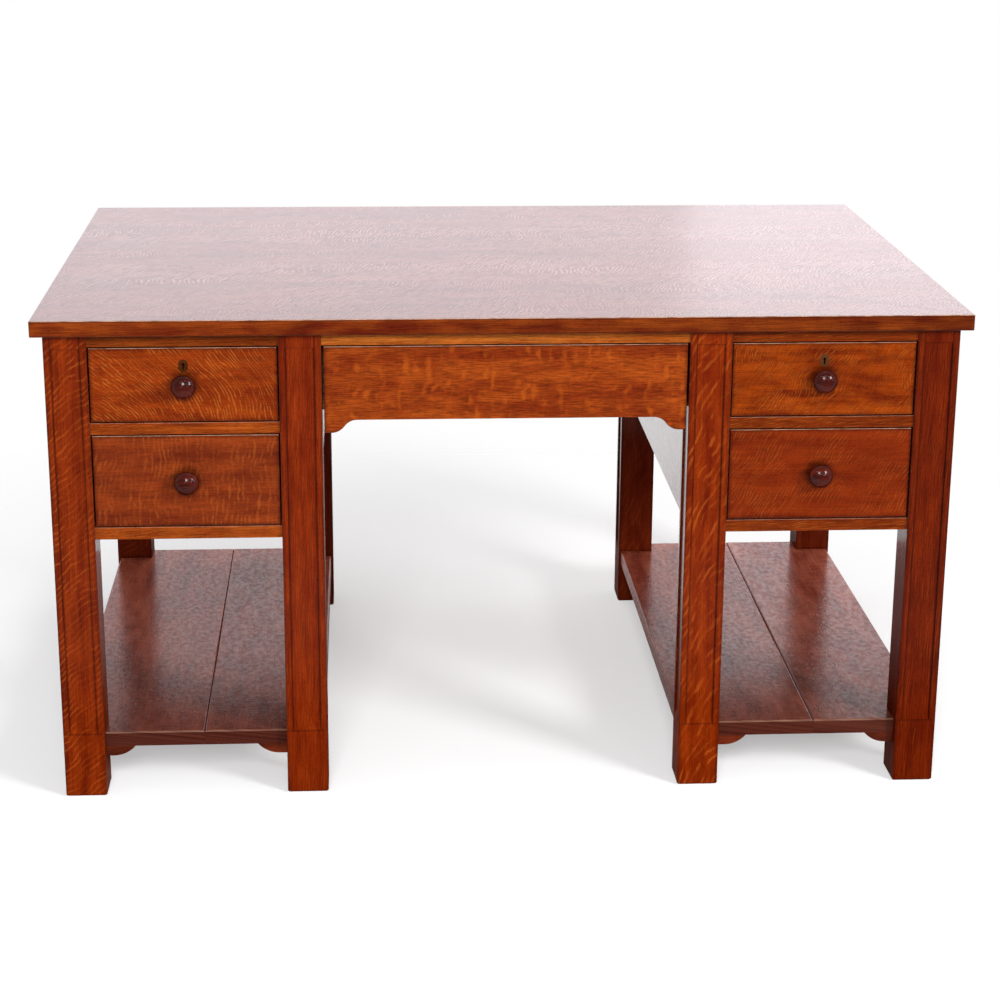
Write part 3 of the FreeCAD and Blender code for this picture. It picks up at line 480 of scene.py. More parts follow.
        fleck = self._ridge(spot, rays, swayed_rays)
        half = 0.5 + COVER_SHARE * (0.5 - figure.cover)
        shows = (half + BREAK_SHOWS[0], half + BREAK_SHOWS[1])
        pieces = (PIECE_SIZE[0] * figure.length, PIECE_SIZE[1] * figure.spacing)
        shares = [pattern(pieces, shows, 2.0, swayed_rays, figure.angle)]
        if figure.face:
            looks = add_node(tree, "Math", (spot.normal[figure.face.value],), "ABSOLUTE")
            looks = (looks, *FACE_TURN)
            shares.append(add_node(tree, "MapRange", looks, "SMOOTHSTEP"))
        patch = pattern((figure.patch_length, figure.patch_width), PATCH_SHOWS, 1.0)
        shares.append(add_node(tree, "MapRange", {0: patch, 3: 1.0 - figure.patchiness, 4: 1.0}))
        if self.bold:
            shares.append(self._boldness(spot))
        for share in shares:
            fleck = add_node(tree, "Math", (fleck, share), "MULTIPLY")
        lines = (figure.line_length, figure.line_width)
        return {
            "fleck": fleck,
            "lines": pattern(lines, LINES_SHOW, 2.0, spot.board),
            "pores": pattern(PORE_SIZE, PORES_SHOW, 0.0, spot.board),
            "bands": pattern((BAND_LENGTH, figure.band_width), BANDS_SHOW, 3.0),
            "cloud": pattern(CLOUD_SIZE, CLOUD_SHOWS),
        }

    def _ridge(self, spot: Spot, rays: Socket, swayed_rays: Socket) -> Socket:
        """Draws the flecks as unbroken ribbons: the crests of waves that wander a little.

        Args:
            spot: the point being shaded.
            rays: the place along and across the flecks' run.
            swayed_rays: the same, after the board's slow sway.

        Returns:
            How far up a crest the point is, from zero to one.
        """
        tree, figure = spot.tree, self.figure
        size = (WANDER_SIZE[0] * figure.length, WANDER_SIZE[1] * figure.spacing)
        wander = spot.blotches(size, 2.0, figure.angle, rays).node.outputs["Color"]
        inputs = {
            "Vector": swayed_rays,
            "Scale": (figure.length * MM, figure.spacing * MM, 1.0),
            "Rotation": (0.0, 0.0, math.radians(figure.angle)),
        }
        stripe = add_node(tree, "Mapping", inputs, "TEXTURE")
        inputs = (wander, (0.0, figure.wander, 0.0), stripe)
        stripe = add_node(tree, "VectorMath", inputs, "MULTIPLY_ADD")
        wave = add_node(
            tree,
            "TexWave",
            {"Vector": stripe, "Scale": ONE_WAVE, "Distortion": 0.0},
            wave_type="BANDS",
            bands_direction="Y",
            wave_profile="SIN",
        ).node.outputs["Fac"]
        return add_node(tree, "MapRange", (wave, figure.fineness, 1.0), "SMOOTHSTEP")

    def _boldness(self, spot: Spot) -> Socket:
        """Shows which of the boards, side by side along Y, were quartered truest.

        Args:
            spot: the point being shaded.

        Returns:
            The share of the flecks that shows: one on the bold boards, and less on the rest.
        """
        tree = spot.tree
        bold: Socket | float = 0.0
        for start, finish in self.bold:
            off = spot.distance(spot.xyz[Axis.Y.value], (start + finish) / 2)
            half = (finish - start) / 2
            inside = add_node(tree, "MapRange", (off, half - BOLD_MARGIN, half, 1.0, 0.0))
            bold = add_node(tree, "Math", (bold, inside), "MAXIMUM")
        return add_node(tree, "MapRange", {0: bold, 3: REST_SHARE, 4: 1.0})

    def _bent(self, spot: Spot) -> Socket:
        """Gives the point's place along and across the circles about the figure's centre.

        Args:
            spot: the point being shaded.

        Returns:
            The way along the circle, the distance from the centre, and the board's number.
        """
        tree, centre = spot.tree, (*self.figure.centre, 0.0)
        place = add_node(tree, "VectorMath", (spot.board, centre), "SUBTRACT")
        along, across, number = add_node(tree, "SeparateXYZ", (place,)).node.outputs
        turn = add_node(tree, "Math", (across, along), "ARCTAN2")
        way = add_node(tree, "Math", (turn, BEND_RADIUS), "MULTIPLY")
        flat = add_node(tree, "CombineXYZ", (along, across, 0.0))
        reach = add_node(tree, "VectorMath", (flat,), "LENGTH")
        return add_node(tree, "CombineXYZ", (way, reach, number))

    def _colour(self, tree: Tree, masks: dict[str, Socket]) -> Socket:
        """Mixes the stain's tones with the flecks, growth lines and pores.

        Args:
            tree: the material's nodes.
            masks: the board's patterns.

        Returns:
            The wood's colour before any dirt.
        """
        dark, light, pale = (linear(tone) for tone in (self.dark, self.light, self.fleck))
        tone = add_node(tree, "Math", (masks["bands"], masks["cloud"]), "ADD")
        tone = add_node(tree, "Math", (tone, 0.5), "MULTIPLY")
        colour = add_node(tree, "Mix", {0: tone, 6: dark, 7: light}, "RGBA")
        shade = {0: masks["lines"], 3: 1.0 - self.figure.streak, 4: LINE_TONE}
        shade = add_node(tree, "MapRange", shade)
        colour = add_node(tree, "VectorMath", {0: colour, "Scale": shade}, "SCALE")
        ray = add_node(tree, "Math", (masks["fleck"], self.figure.strength), "MULTIPLY")
        colour = add_node(tree, "Mix", {0: ray, 6: colour, 7: pale}, "RGBA")
        pore = add_node(tree, "MapRange", {0: masks["pores"], 3: 1.0, 4: PORE_TONE})
        return add_node(tree, "VectorMath", {0: colour, "Scale": pore}, "SCALE")

    def _toned(self, spot: Spot, colour: Socket) -> Socket:
        """Darkens the end grain, which drinks more stain, and one end of some boards.

        Args:
            spot: the point being shaded.
            colour: the wood's colour.

        Returns:
            The toned colour.
        """
        tree, tones = spot.tree, []
        if self.end_tone != 1.0:
            end = add_node(tree, "Math", (spot.normal[self.figure.grain.value],), "ABSOLUTE")
            tones.append((end, *END_TURN, 1.0, self.end_tone))
        if self.fade:
            axis, start, finish, share = self.fade
            tones.append((spot.xyz[axis.value], start, finish, 1.0, share))
        for inputs in tones:
            tone = add_node(tree, "MapRange", inputs)
            colour = add_node(tree, "VectorMath", {0: colour, "Scale": tone}, "SCALE")
        return colour

    def _gloss(self, spot: Spot, fleck: Socket) -> Socket:
        """Shows the coat: less of it face on, where it is scuffed or worn and between flecks.

        Args:
            spot: the point being shaded.
            fleck: the pattern of the flecks.

        Returns:
            The weight of the coat.
        """
        tree = spot.tree
        facing = add_node(tree, "LayerWeight", {"Blend": 0.5}).node.outputs["Facing"]
        gloss = (facing, *COAT_TURN, self.coat_facing * self.coat, self.coat)
        gloss = add_node(tree, "MapRange", gloss)
        shares = []
        if self.dulling:
            shares.append((fleck, 0.0, 1.0, 1.0 - self.dulling, 1.0))
        if self.scuff:
            axis, start, finish, least = self.scuff
            shares.append((spot.xyz[axis.value], start, finish, least, 1.0))
        if self.worn:
            patches = spot.blotches(WORN_SIZE, 5.0)
            shares.append((patches, *WEAR_SHOWS, 1.0 - self.worn, 1.0))
        for inputs in shares:
            share = add_node(tree, "MapRange", inputs)
            gloss = add_node(tree, "Math", (gloss, share), "MULTIPLY")
        return gloss

    def _arris_highlight(self, spot: Spot) -> Socket:
        """Paints a pale highlight along the upper arrises, where a rounded edge catches light.

        An upper arris is where the surface looks both up and along Y.

        Args:
            spot: the point being shaded.

        Returns:
            How strong the painted highlight is, from zero to one.
        """
        tree = spot.tree
        ragged = spot.blotches(HIGHLIGHT_BLOTCH_SIZE, 3.0)
        painted_highlight = (ragged, *HIGHLIGHT_SHOWS, HIGHLIGHT_LEAST * self.rub, self.rub)
        painted_highlight = add_node(tree, "MapRange", painted_highlight)
        across = add_node(tree, "Math", (spot.normal[Axis.Y.value],), "ABSOLUTE")
        for looks in (across, spot.normal[Axis.Z.value]):
            part = add_node(tree, "MapRange", (looks, *ARRIS_TURN), "SMOOTHSTEP")
            painted_highlight = add_node(tree, "Math", (painted_highlight, part), "MULTIPLY")
        return painted_highlight

    def _dirt(self, spot: Spot, low: Vector, high: Vector) -> Socket:
        """Shows where the board is darkened by dirt and by painted shade.

        Old polish and dirt lie in patches and along the edges, a darker ring lies round the knob,
        and painted shade lies in the corners of a post's sunk panels.

        Args:
            spot: the point being shaded.
            low: the board's lowest corner.
            high: the board's highest corner.

        Returns:
            How dark the dirt and the painted shade are, from zero to one.
        """
        tree, xyz = spot.tree, spot.xyz
        ragged = spot.blotches(DIRT_SIZE, 3.0)
        patches = (ragged, *DIRT_SHOWS, 0.0, PATCH_DIRT * self.grime)
        dirt_and_shade = add_node(tree, "MapRange", patches)
        bands = []
        if self.grime_axes:
            inset: Socket | float = 1.0
            for axis in self.grime_axes:
                least, most = low[axis.value], high[axis.value]
                off = spot.distance(xyz[axis.value], (least + most) / 2)
                left = add_node(tree, "Math", ((most - least) / 2, off), "SUBTRACT")
                inset = add_node(tree, "Math", (inset, left), "MINIMUM")
            edge = (share * self.grime_width * MM for share in EDGE_DIRT)
            bands.append((inset, *edge, self.grime))
        # A darker ring round the knob.
        if self.halo:
            point = add_node(tree, "CombineXYZ", (xyz[0], 0.0, xyz[2]))
            knob = (self.halo[0], 0.0, self.halo[1])
            away = add_node(tree, "VectorMath", (point, knob), "DISTANCE")
            bands.append((away, *KNOB_RING, self.halo_strength))
        for way, raggedness, start, finish, strength in bands:
            way = add_node(tree, "Math", (ragged, raggedness, way), "MULTIPLY_ADD")
            band = add_node(tree, "MapRange", (way, start, finish, strength, 0.0), "SMOOTHSTEP")
            dirt_and_shade = add_node(tree, "Math", (dirt_and_shade, band), "MAXIMUM")
        # Painted shade in the corners of a post's sunk panels, where the walls would shade the
        # floor.
        if self.sinking:
            corners = self._sunk_panel_shade(spot)
            dirt_and_shade = add_node(tree, "Math", (dirt_and_shade, corners), "MAXIMUM")
        return dirt_and_shade

    def _sunk_panel_shade(self, spot: Spot) -> Socket:
        """Paints shade into the corners of a post's two sunk panels.

        A point is shaded where it lies within a millimetre or two of a panel's side wall, on
        the outward half of the post, or of the foot of the panel's ramp.

        Args:
            spot: the point being shaded.

        Returns:
            How dark the painted shade is, from zero to one.
        """
        tree, xyz = spot.tree, spot.xyz
        middle, outward = self.sinking[:2], self.sinking[2:]
        dirt_and_shade: Socket | float = 0.0
        for axis, other in ((0, 1), (1, 0)):
            off = spot.distance(spot.distance(xyz[axis], middle[axis]), SUNK_HALF)
            line = add_node(tree, "MapRange", (off, *WALL_SHADE, 1.0, 0.0))
            side = add_node(tree, "Math", (xyz[other], middle[other]), "SUBTRACT")
            side = add_node(tree, "Math", (side, outward[other]), "MULTIPLY")
            side = add_node(tree, "Math", (side, SUNK_HALF), "GREATER_THAN")
            line = add_node(tree, "Math", (line, side), "MULTIPLY")
            dirt_and_shade = add_node(tree, "Math", (dirt_and_shade, line), "MAXIMUM")
        above = add_node(tree, "Math", (xyz[2], SUNK_FOOT), "GREATER_THAN")
        dirt_and_shade = add_node(tree, "Math", (dirt_and_shade, above), "MULTIPLY")
        level = spot.distance(xyz[2], SUNK_SHADE_LEVEL)
        level = add_node(tree, "MapRange", (level, *RAMP_SHADE, RAMP_SHARE, 0.0))
        dirt_and_shade = add_node(tree, "Math", (dirt_and_shade, level), "MAXIMUM")
        return add_node(tree, "Math", (dirt_and_shade, CORNER_SHARE), "MULTIPLY")

    def _height(self, spot: Spot, masks: dict[str, Socket]) -> Socket:
        """Raises the growth lines and flecks, sinks the pores and adds dents.

        The height dies away towards a seam, where two boards' patterns meet.

        Args:
            spot: the point being shaded.
            masks: the board's patterns.

        Returns:
            The surface's height, about one for the full depth of the bump.
        """
        tree = spot.tree
        layers = [(masks["pores"], -1.0), (masks["lines"], LINE_HEIGHT)]
        if self.dents:
            dent = (spot.blotches(DENT_SIZE, 1.0), *DENTS_SHOW)
            dent = add_node(tree, "MapRange", dent, "SMOOTHSTEP")
            layers.append((dent, -self.dents))
        if self.ripple:
            layers.append((spot.blotches(RIPPLE_SIZE, 2.0), self.ripple))
        height = masks["fleck"]
        for layer, share in layers:
            height = add_node(tree, "Math", (layer, share, height), "MULTIPLY_ADD")
        mean = MEAN_HEIGHT + RIPPLE_MEAN * self.ripple
        for axis, seam in self.steps:
            off = spot.distance(spot.xyz[axis.value], seam)
            left = add_node(tree, "MapRange", (off, *SEAM_FADE))
            height = add_node(tree, "Math", (height, mean), "SUBTRACT")
            height = add_node(tree, "Math", (height, left, mean), "MULTIPLY_ADD")
        return height


@dataclass(frozen=True)
class AgedBrass:
    """Cast brass, polished once and left to brown: a warm metal with dull, dark patches.

    Its lengths are in millimetres.
    """

    name: str
    bright: str = "#9a6238"
    dull: str = "#46281a"
    roughness: float = 0.34
    dulling: float = 0.25
    dulling_band: tuple[float, float] = (0.3, 0.7)
    patch: float = 6.0
    scratch: float = 0.8
    scratch_depth: float = 0.03

    def material(self) -> bpy.types.Material:
        """Builds the metal's material.

        Returns:
            The finished material.
        """
        material, tree = new_tree(self.name)
        place = add_node(tree, "TexCoord").node.outputs["Object"]
        tarnish, scratch = (
            add_node(tree, "TexNoise", {"Vector": place, "Scale": 1 / (size * MM), "Detail": fine})
            for size, fine in ((self.patch, 4.0), (self.scratch, 2.0))
        )
        colour = {0: tarnish, 6: linear(self.bright), 7: linear(self.dull)}
        colour = add_node(tree, "Mix", colour, "RGBA")
        dull = (tarnish, *self.dulling_band, self.roughness, self.roughness + self.dulling)
        dull = add_node(tree, "MapRange", dull)
        depth = self.scratch_depth * MM
        bump = add_node(tree, "Bump", {"Height": scratch, "Distance": depth})
        inputs = {"Base Color": colour, "Metallic": 1.0, "Roughness": dull, "Normal": bump}
        shader = add_node(tree, "BsdfPrincipled", inputs)
        add_node(tree, "OutputMaterial", {"Surface": shader})
        return material


# ---- shapes -----------------------------------------------------------------------------


def closed_mesh(name: str, points: np.ndarray) -> bpy.types.Object:
    """Puts a grid of points into a smooth mesh that is closed round and at both ends.

    Args:
        name: the object's name.
        points: rows x columns x 3 corners; rows run up the shape and columns round it, and
            the first and last rows each stand for a single point.

    Returns:
        The linked object.
    """
    rows, columns = points.shape[:2]
    index = 1 + np.arange((rows - 2) * columns).reshape(rows - 2, columns)
    foot, crown = np.zeros_like(index[:1]), np.full_like(index[:1], index[-1, -1] + 1)
    index = np.concatenate([foot, index, crown])
    ahead = np.roll(index, -1, axis=1)
    quads = np.stack([index[:-1], ahead[:-1], ahead[1:], index[1:]], axis=-1).reshape(-1, 4)
    faces = [list(dict.fromkeys(quad)) for quad in quads.tolist()]
    corners = np.concatenate([points[0, :1], points[1:-1].reshape(-1, 3), points[-1, :1]])
    mesh = bpy.data.meshes.new(name)
    mesh.from_pydata(corners.tolist(), [], faces)
    mesh.shade_smooth()
    mesh.update()
    return link_object(name, mesh)


# ---- the studio -------------------------------------------------------------------------


@dataclass(frozen=True)
class Lamp:
    """One soft lamp: where it stands, what it faces, its width, height and power in watts."""

    name: str
    place: tuple[float, float, float]
    target: tuple[float, float, float]
    width: float
    height: float
    power: float
    colour: str = "#ffffff"


@dataclass
class Studio:
    """A plain pale floor in a white room, soft lamps and the camera.

    The floor's clearness is how far the eye sees through it near the desk. In reflections the
    room's wall is dim on the near side and turns white between two shares of a look along Y.
    The lens and the sensor are in millimetres.
    """

    camera_place: tuple[float, float, float] = (-0.21529, -3.81713, 1.51557)
    yaw: float = 3.53
    pitch: float = 17.16
    roll: float = 0.36
    lens: float = 82.82
    sensor_width: float = 36.0
    floor_reach: float = 14.0
    floor_clearness: float = 0.4
    floor_fade: tuple[float, float] = (0.9, 2.0)
    floor_colour: str = "#f0f0f0"
    dim_wall: float = 0.3
    wall_turn: tuple[float, float] = (-0.6, 0.1)
    ambient: str = "#bcbcbf"
    lamps: tuple[Lamp, ...] = (
        Lamp("key_lamp", (3.5, -3.5, 2.6), (0.0, -0.3, 0.45), 1.2, 1.2, 150.0),
        Lamp("front_lamp", (-0.5, -4.6, 2.6), (0.0, -0.3, 0.45), 1.2, 1.2, 95.0),
        Lamp("top_lamp", (0.3, 0.6, 3.2), (0.0, 0.0, 0.7), 2.4, 2.4, 50.0),
        Lamp("back_lamp", (0.0, 4.0, 1.5), (0.0, 0.0, 0.8), 6.0, 2.4, 38.0, "#f4f3ff"),
        Lamp("back_right_lamp", (3.0, 3.9, 1.5), (3.0, 0.0, 1.2), 4.2, 2.4, 21.0, "#f8f8ff"),
    )

    def build(self) -> None:
        """Makes the floor, the white room, the lamps and the camera."""
        self._make_floor()
        self._make_room()
        for lamp in self.lamps:
            self._hang(lamp)
        self._set_camera()
        LOG.info("studio: %d lamps", len(self.lamps))

    def _make_floor(self) -> None:
        """Lays a flat pale floor, partly seen through, that fades away far from the desk."""
        reach = self.floor_reach
        mesh = bpy.data.meshes.new("floor")
        corners = [(-reach, -reach, 0), (reach, -reach, 0), (reach, reach, 0), (-reach, reach, 0)]
        mesh.from_pydata(corners, [], [(0, 1, 2, 3)])
        floor = link_object("floor", mesh)
        material, tree = new_tree("painted studio floor")
        position = add_node(tree, "TexCoord").node.outputs["Object"]
        away = add_node(tree, "VectorMath", (position,), "LENGTH")
        eye = add_node(tree, "LightPath").node.outputs["Is Camera Ray"]
        near = add_node(tree, "Math", (eye, self.floor_clearness), "MULTIPLY")
        far = add_node(tree, "MapRange", (away, *self.floor_fade, near, 1.0), "SMOOTHSTEP")
        paint = {"Color": linear(self.floor_colour), "Roughness": 1.0}
        paint = add_node(tree, "BsdfDiffuse", paint)
        room = add_node(tree, "BsdfTransparent")
        surface = add_node(tree, "MixShader", (far, paint, room))
        add_node(tree, "OutputMaterial", {"Surface": surface})
        mesh.materials.append(material)

    def _make_room(self) -> None:
        """Makes the world white to the eye, and grey as a source of light.

        Reflections show it white too on the far side, and dimmer behind the camera.
        """
        world = bpy.data.worlds.new("white room")
        bpy.context.scene.world = world
        world.use_nodes = True
        tree = world.node_tree
        tree.nodes.clear()
        rays = add_node(tree, "LightPath").node.outputs
        eye = seen = rays["Is Camera Ray"]
        for kind in ("Is Glossy Ray", "Is Transmission Ray"):
            seen = add_node(tree, "Math", (seen, rays[kind]), "MAXIMUM")
        looks = add_node(tree, "TexCoord").node.outputs["Generated"]
        backward = add_node(tree, "SeparateXYZ", (looks,)).node.outputs["Y"]
        wall = (backward, *self.wall_turn, self.dim_wall, 1.0)
        wall = add_node(tree, "MapRange", wall, "SMOOTHSTEP")
        wall = add_node(tree, "Math", (wall, eye), "MAXIMUM")
        colour = add_node(tree, "Mix", {0: seen, 6: linear(self.ambient), 7: wall}, "RGBA")
        background = add_node(tree, "Background", {"Color": colour, "Strength": 1.0})
        add_node(tree, "OutputWorld", {"Surface": background})

    def _hang(self, lamp: Lamp) -> None:
        """Makes one lamp and turns it to face its target.

        Args:
            lamp: the lamp's place, size and power.
        """
        light = bpy.data.lights.new(lamp.name, "AREA")
        light.shape = "RECTANGLE"
        light.size = lamp.width
        light.size_y = lamp.height
        light.energy = lamp.power
        light.color = linear(lamp.colour)[:3]
        aim = Vector(lamp.target) - Vector(lamp.place)
        turn = aim.to_track_quat("-Z", "Y").to_matrix().to_4x4()
        link_object(lamp.name, light).matrix_world = Matrix.Translation(lamp.place) @ turn

    def _set_camera(self) -> None:
        """Makes the camera: its look is turned by yaw, tipped by pitch and rolled a little."""
        yaw, pitch, roll = (math.radians(turn) for turn in (self.yaw, self.pitch, self.roll))
        level = math.cos(pitch)
        ahead = Vector((math.sin(yaw) * level, math.cos(yaw) * level, -math.sin(pitch)))
        aside = ahead.cross(Vector((0, 0, 1))).normalized()
        upward = aside.cross(ahead)
        right = math.cos(roll) * aside + math.sin(roll) * upward
        upright = math.cos(roll) * upward - math.sin(roll) * aside
        camera = bpy.data.cameras.new("camera")
        camera.lens = self.lens
        camera.sensor_width = self.sensor_width
        holder = link_object("camera", camera)
        turn = Matrix((right, upright, -ahead)).transposed().to_4x4()
        holder.matrix_world = Matrix.Translation(self.camera_place) @ turn
        bpy.context.scene.camera = holder


# ---- the desk ---------------------------------------------------------------------------

# Quartered oak under gloss: a deep red-brown with pale flecks that climb the face.
POST = Oak(
    name="stained quartered oak, post", dark="#6c1d05", light="#92330a", fleck="#b8581c",
    figure=Figure(
        Axis.Z, angle=14.0, spacing=7.0, length=60.0, strength=0.3, sway=12.0, band_width=14.0
    ),
    grime=0.35, grime_width=4.0, grime_axes=(Axis.X,), coat_facing=0.25, rub=0.0,
    scuff=(Axis.Z, 0.12, 0.38, 0.1),
)
POST_STYLES = {
    "left_outer": (
        dict(
            angle=50.0, spacing=8.5, length=42.0, strength=0.4, fineness=0.55, cover=0.8,
            sway=26.0, sway_length=150.0,
        ),
        {},
    ),
    "left_inner": (
        dict(angle=5.0, spacing=4.5, strength=0.16, streak=0.3, line_length=60.0),
        dict(dark="#701d05", light="#8c2f09"),
    ),
    "right_inner": (
        dict(
            angle=28.0, spacing=11.0, length=46.0, strength=0.5, fineness=0.4, cover=0.5,
            sway=30.0, sway_length=150.0,
        ),
        dict(dark="#701c03", light="#8c3006"),
    ),
    "right_outer": (
        dict(angle=4.0, spacing=4.0, strength=0.15, streak=0.3, line_length=60.0),
        dict(dark="#5a1503", light="#742205"),
    ),
}
BACK_FIGURE = dict(strength=0.12, streak=0.3)
# Darker tones for the back posts: painted shade for the light that the top and the front posts
# keep from them.
SHADED_BACK_TONES = dict(dark="#5c1a0a", light="#762a12")
# Narrow plain-sawn strips: straight fine lines, paler where the stain was wiped thin.
RAIL = Oak(
    name="stained oak, rail", dark="#8a360b", light="#ac5016", fleck="#c2702c",
    figure=Figure(
        Axis.X, Axis.Y, angle=8.0, spacing=4.0, length=30.0, strength=0.3, sway=4.0, streak=0.35,
        line_length=45.0, band_width=9.0,
    ),
    grime=0.3, coat_facing=0.25, rub=0.35, steps=((Axis.Y, 0.0), (Axis.Z, 0.5), (Axis.Z, 0.65)),
)
RAIL_STYLES = {
    # The left pedestal's top rail, right under the top's overhang, is darker than its other rails.
    "left_pedestal": dict(fade=(Axis.Z, 0.700, 0.701, 0.66)),
    "right_pedestal": dict(dark="#6a2306", light="#883609"),
    "kneehole": dict(dark="#a04a14", light="#c06a26"),
}
# Quartered oak, picked for show: warm brown, bright crossing flecks, dark edges and a painted
# highlight along the top arris.
FRONT = Oak(
    name="stained quartered oak, drawer front", dark="#722306", light="#983c0c", fleck="#cc7a30",
    figure=Figure(Axis.X, Axis.Y, angle=-42.0, spacing=5.0, strength=0.5, streak=0.14), grime=0.5,
    grime_width=4.0, grime_axes=(Axis.X, Axis.Z), coat_facing=0.25, rub=0.5,
)
FRONT_STYLES = {
    "left_upper": (
        dict(
            angle=0.0, centre=(-0.78, -0.01), spacing=4.5, length=34.0, strength=0.4, fineness=0.3,
            cover=0.75, wander=2.6, sway=34.0, patchiness=0.6,
        ),
        dict(dark="#722206", light="#9a3a0a"),
    ),
    "left_lower": (
        dict(
            angle=86.0, spacing=7.5, length=34.0, strength=0.34, fineness=0.15, cover=0.65,
            wander=2.4, sway=14.0, line_length=40.0, line_width=1.8,
        ),
        dict(dark="#6a240e", light="#903a14", fleck="#b45c24"),
    ),
    "right_upper": (
        dict(
            angle=56.0, spacing=3.6, length=24.0, strength=0.22, fineness=0.25, cover=0.8,
            wander=2.4, sway=34.0, sway_length=160.0, patchiness=0.7,
        ),
        dict(dark="#621903", light="#9c3e06"),
    ),
    "right_lower": (
        dict(
            angle=60.0, spacing=4.6, length=34.0, strength=0.13, fineness=0.25, cover=0.9,
            wander=2.4, patchiness=0.8,
        ),
        dict(dark="#6c1e05", light="#842c08"),
    ),
    "kneehole": (
        dict(
            angle=86.0, spacing=17.0, length=34.0, strength=0.45, fineness=0.1, cover=0.4,
            wander=2.2, sway=12.0, streak=0.38, line_length=24.0, line_width=1.7,
            patch_length=60.0, patchiness=1.0,
        ),
        dict(dark="#802c0c", light="#a84914", fleck="#c25c18"),
    ),
}
# Wide quartered boards, polished often: a soft cloudy sheen over lacy flecks.
TOP = Oak(
    name="stained quartered oak, top", dark="#642f29", light="#7e4036", fleck="#b0827a",
    figure=Figure(
        Axis.X, Axis.Z, angle=62.0, spacing=6.0, length=30.0, strength=0.58, fineness=0.15,
        cover=1.0, wander=2.2, sway=60.0, patch_length=160.0, patch_width=70.0, patchiness=0.35,
        line_length=60.0, band_width=60.0,
    ),
    grime=0.3, grime_width=6.0, coat_roughness=0.22, roughness=0.3, dulling=0.07, rub=0.6,
    bold=((-0.215, -0.05), (0.115, 0.27)),
    steps=tuple((Axis.Y, seam) for seam in (-0.365, -0.215, -0.05, 0.115, 0.27)),
)
# Long grain, planed: dark lines, darker towards the right end, and a painted highlight on
# the upper arris.
EDGE = Oak(
    name="stained oak, edge of the top", dark="#681c08", light="#9c4412", fleck="#a8541c",
    fade=(Axis.X, -0.7, 0.7, 0.64),
    figure=Figure(
        Axis.X, angle=5.0, spacing=4.0, length=60.0, strength=0.25, sway=8.0, streak=0.36,
        line_length=70.0, band_width=14.0,
    ),
    grime=0.5, grime_axes=(Axis.Z,), grime_width=2.5, coat_facing=0.25, rub=0.6,
)
# Quartered boards that boots and brooms have reached: pocked, brushed and dulled in front.
SHELF = replace(
    TOP, name="stained quartered oak, shelf", dark="#843626", light="#b45e48", fleck="#c07862",
    fade=(Axis.Y, 0.45, -0.35, 0.46),
    figure=Figure(
        Axis.Y, Axis.Z, angle=86.0, spacing=6.0, length=50.0, strength=0.42, fineness=0.2,
        cover=0.95, wander=2.6, sway=14.0, line_length=60.0, band_width=50.0, wrap=8.0,
    ),
    coat=0.62, coat_roughness=0.18, dulling=0.0, dents=6.0, ripple=3.0, bump=0.10, end_tone=0.58,
    rub=0.22, bold=(), scuff=(Axis.Y, -0.48, -0.10, 0.6), worn=0.4,
)
# One wide, plain board: long dark lines under a full gloss, and the odd dent.
PANEL = Oak(
    name="stained oak, side panel", dark="#60200e", light="#8c3c1a", fleck="#b06a3c",
    figure=Figure(
        Axis.Y, Axis.X, angle=50.0, spacing=7.0, length=50.0, strength=0.45, fineness=0.35,
        cover=0.8, sway=16.0, streak=0.35, line_length=180.0, line_width=2.2, band_width=34.0,
    ),
    grime=0.3, specular=0.45, roughness=0.3, coat=0.9, dents=4.0,
)
# Small sawn pieces that took the stain dark: little figure and little shine.
BRACKET = Oak(
    name="stained oak, bracket", dark="#4e1806", light="#762c10", fleck="#8a401c",
    figure=Figure(Axis.X, angle=8.0, spacing=4.0, length=30.0, strength=0.2, sway=4.0), grime=0.35,
    coat_facing=0.25, steps=((Axis.X, 0.0), (Axis.Y, 0.0)),
)
# Bare sawn oak: dry, pale tan, with fine lines and no shine.
CARCASE = Oak(
    name="plain oak, carcase", dark="#8a6a48", light="#b08c64", fleck="#c4a47c",
    figure=Figure(
        Axis.Y, angle=10.0, spacing=6.0, length=50.0, strength=0.2, sway=5.0, crossed=True
    ),
    grime=0.3, coat=0.0, roughness=0.7, rub=0.0,
)
# The same, planed and kept clean inside a drawer, so it is paler.
LINING = replace(CARCASE, name="plain oak, drawer lining", dark="#a8825c", light="#c8a680")
# Oak turned across the grain: nearly black red, with a sharp glint on the rim.
KNOB = Oak(
    name="turned oak, knob", dark="#300602", light="#62180a", fleck="#6e2414",
    figure=Figure(
        Axis.X, angle=10.0, spacing=4.0, length=20.0, strength=0.2, sway=2.0, streak=0.45
    ),
    grime=0.2, roughness=0.5, coat=0.3, coat_facing=2.2, coat_roughness=0.07, bump=0.2, rub=0.0,
)


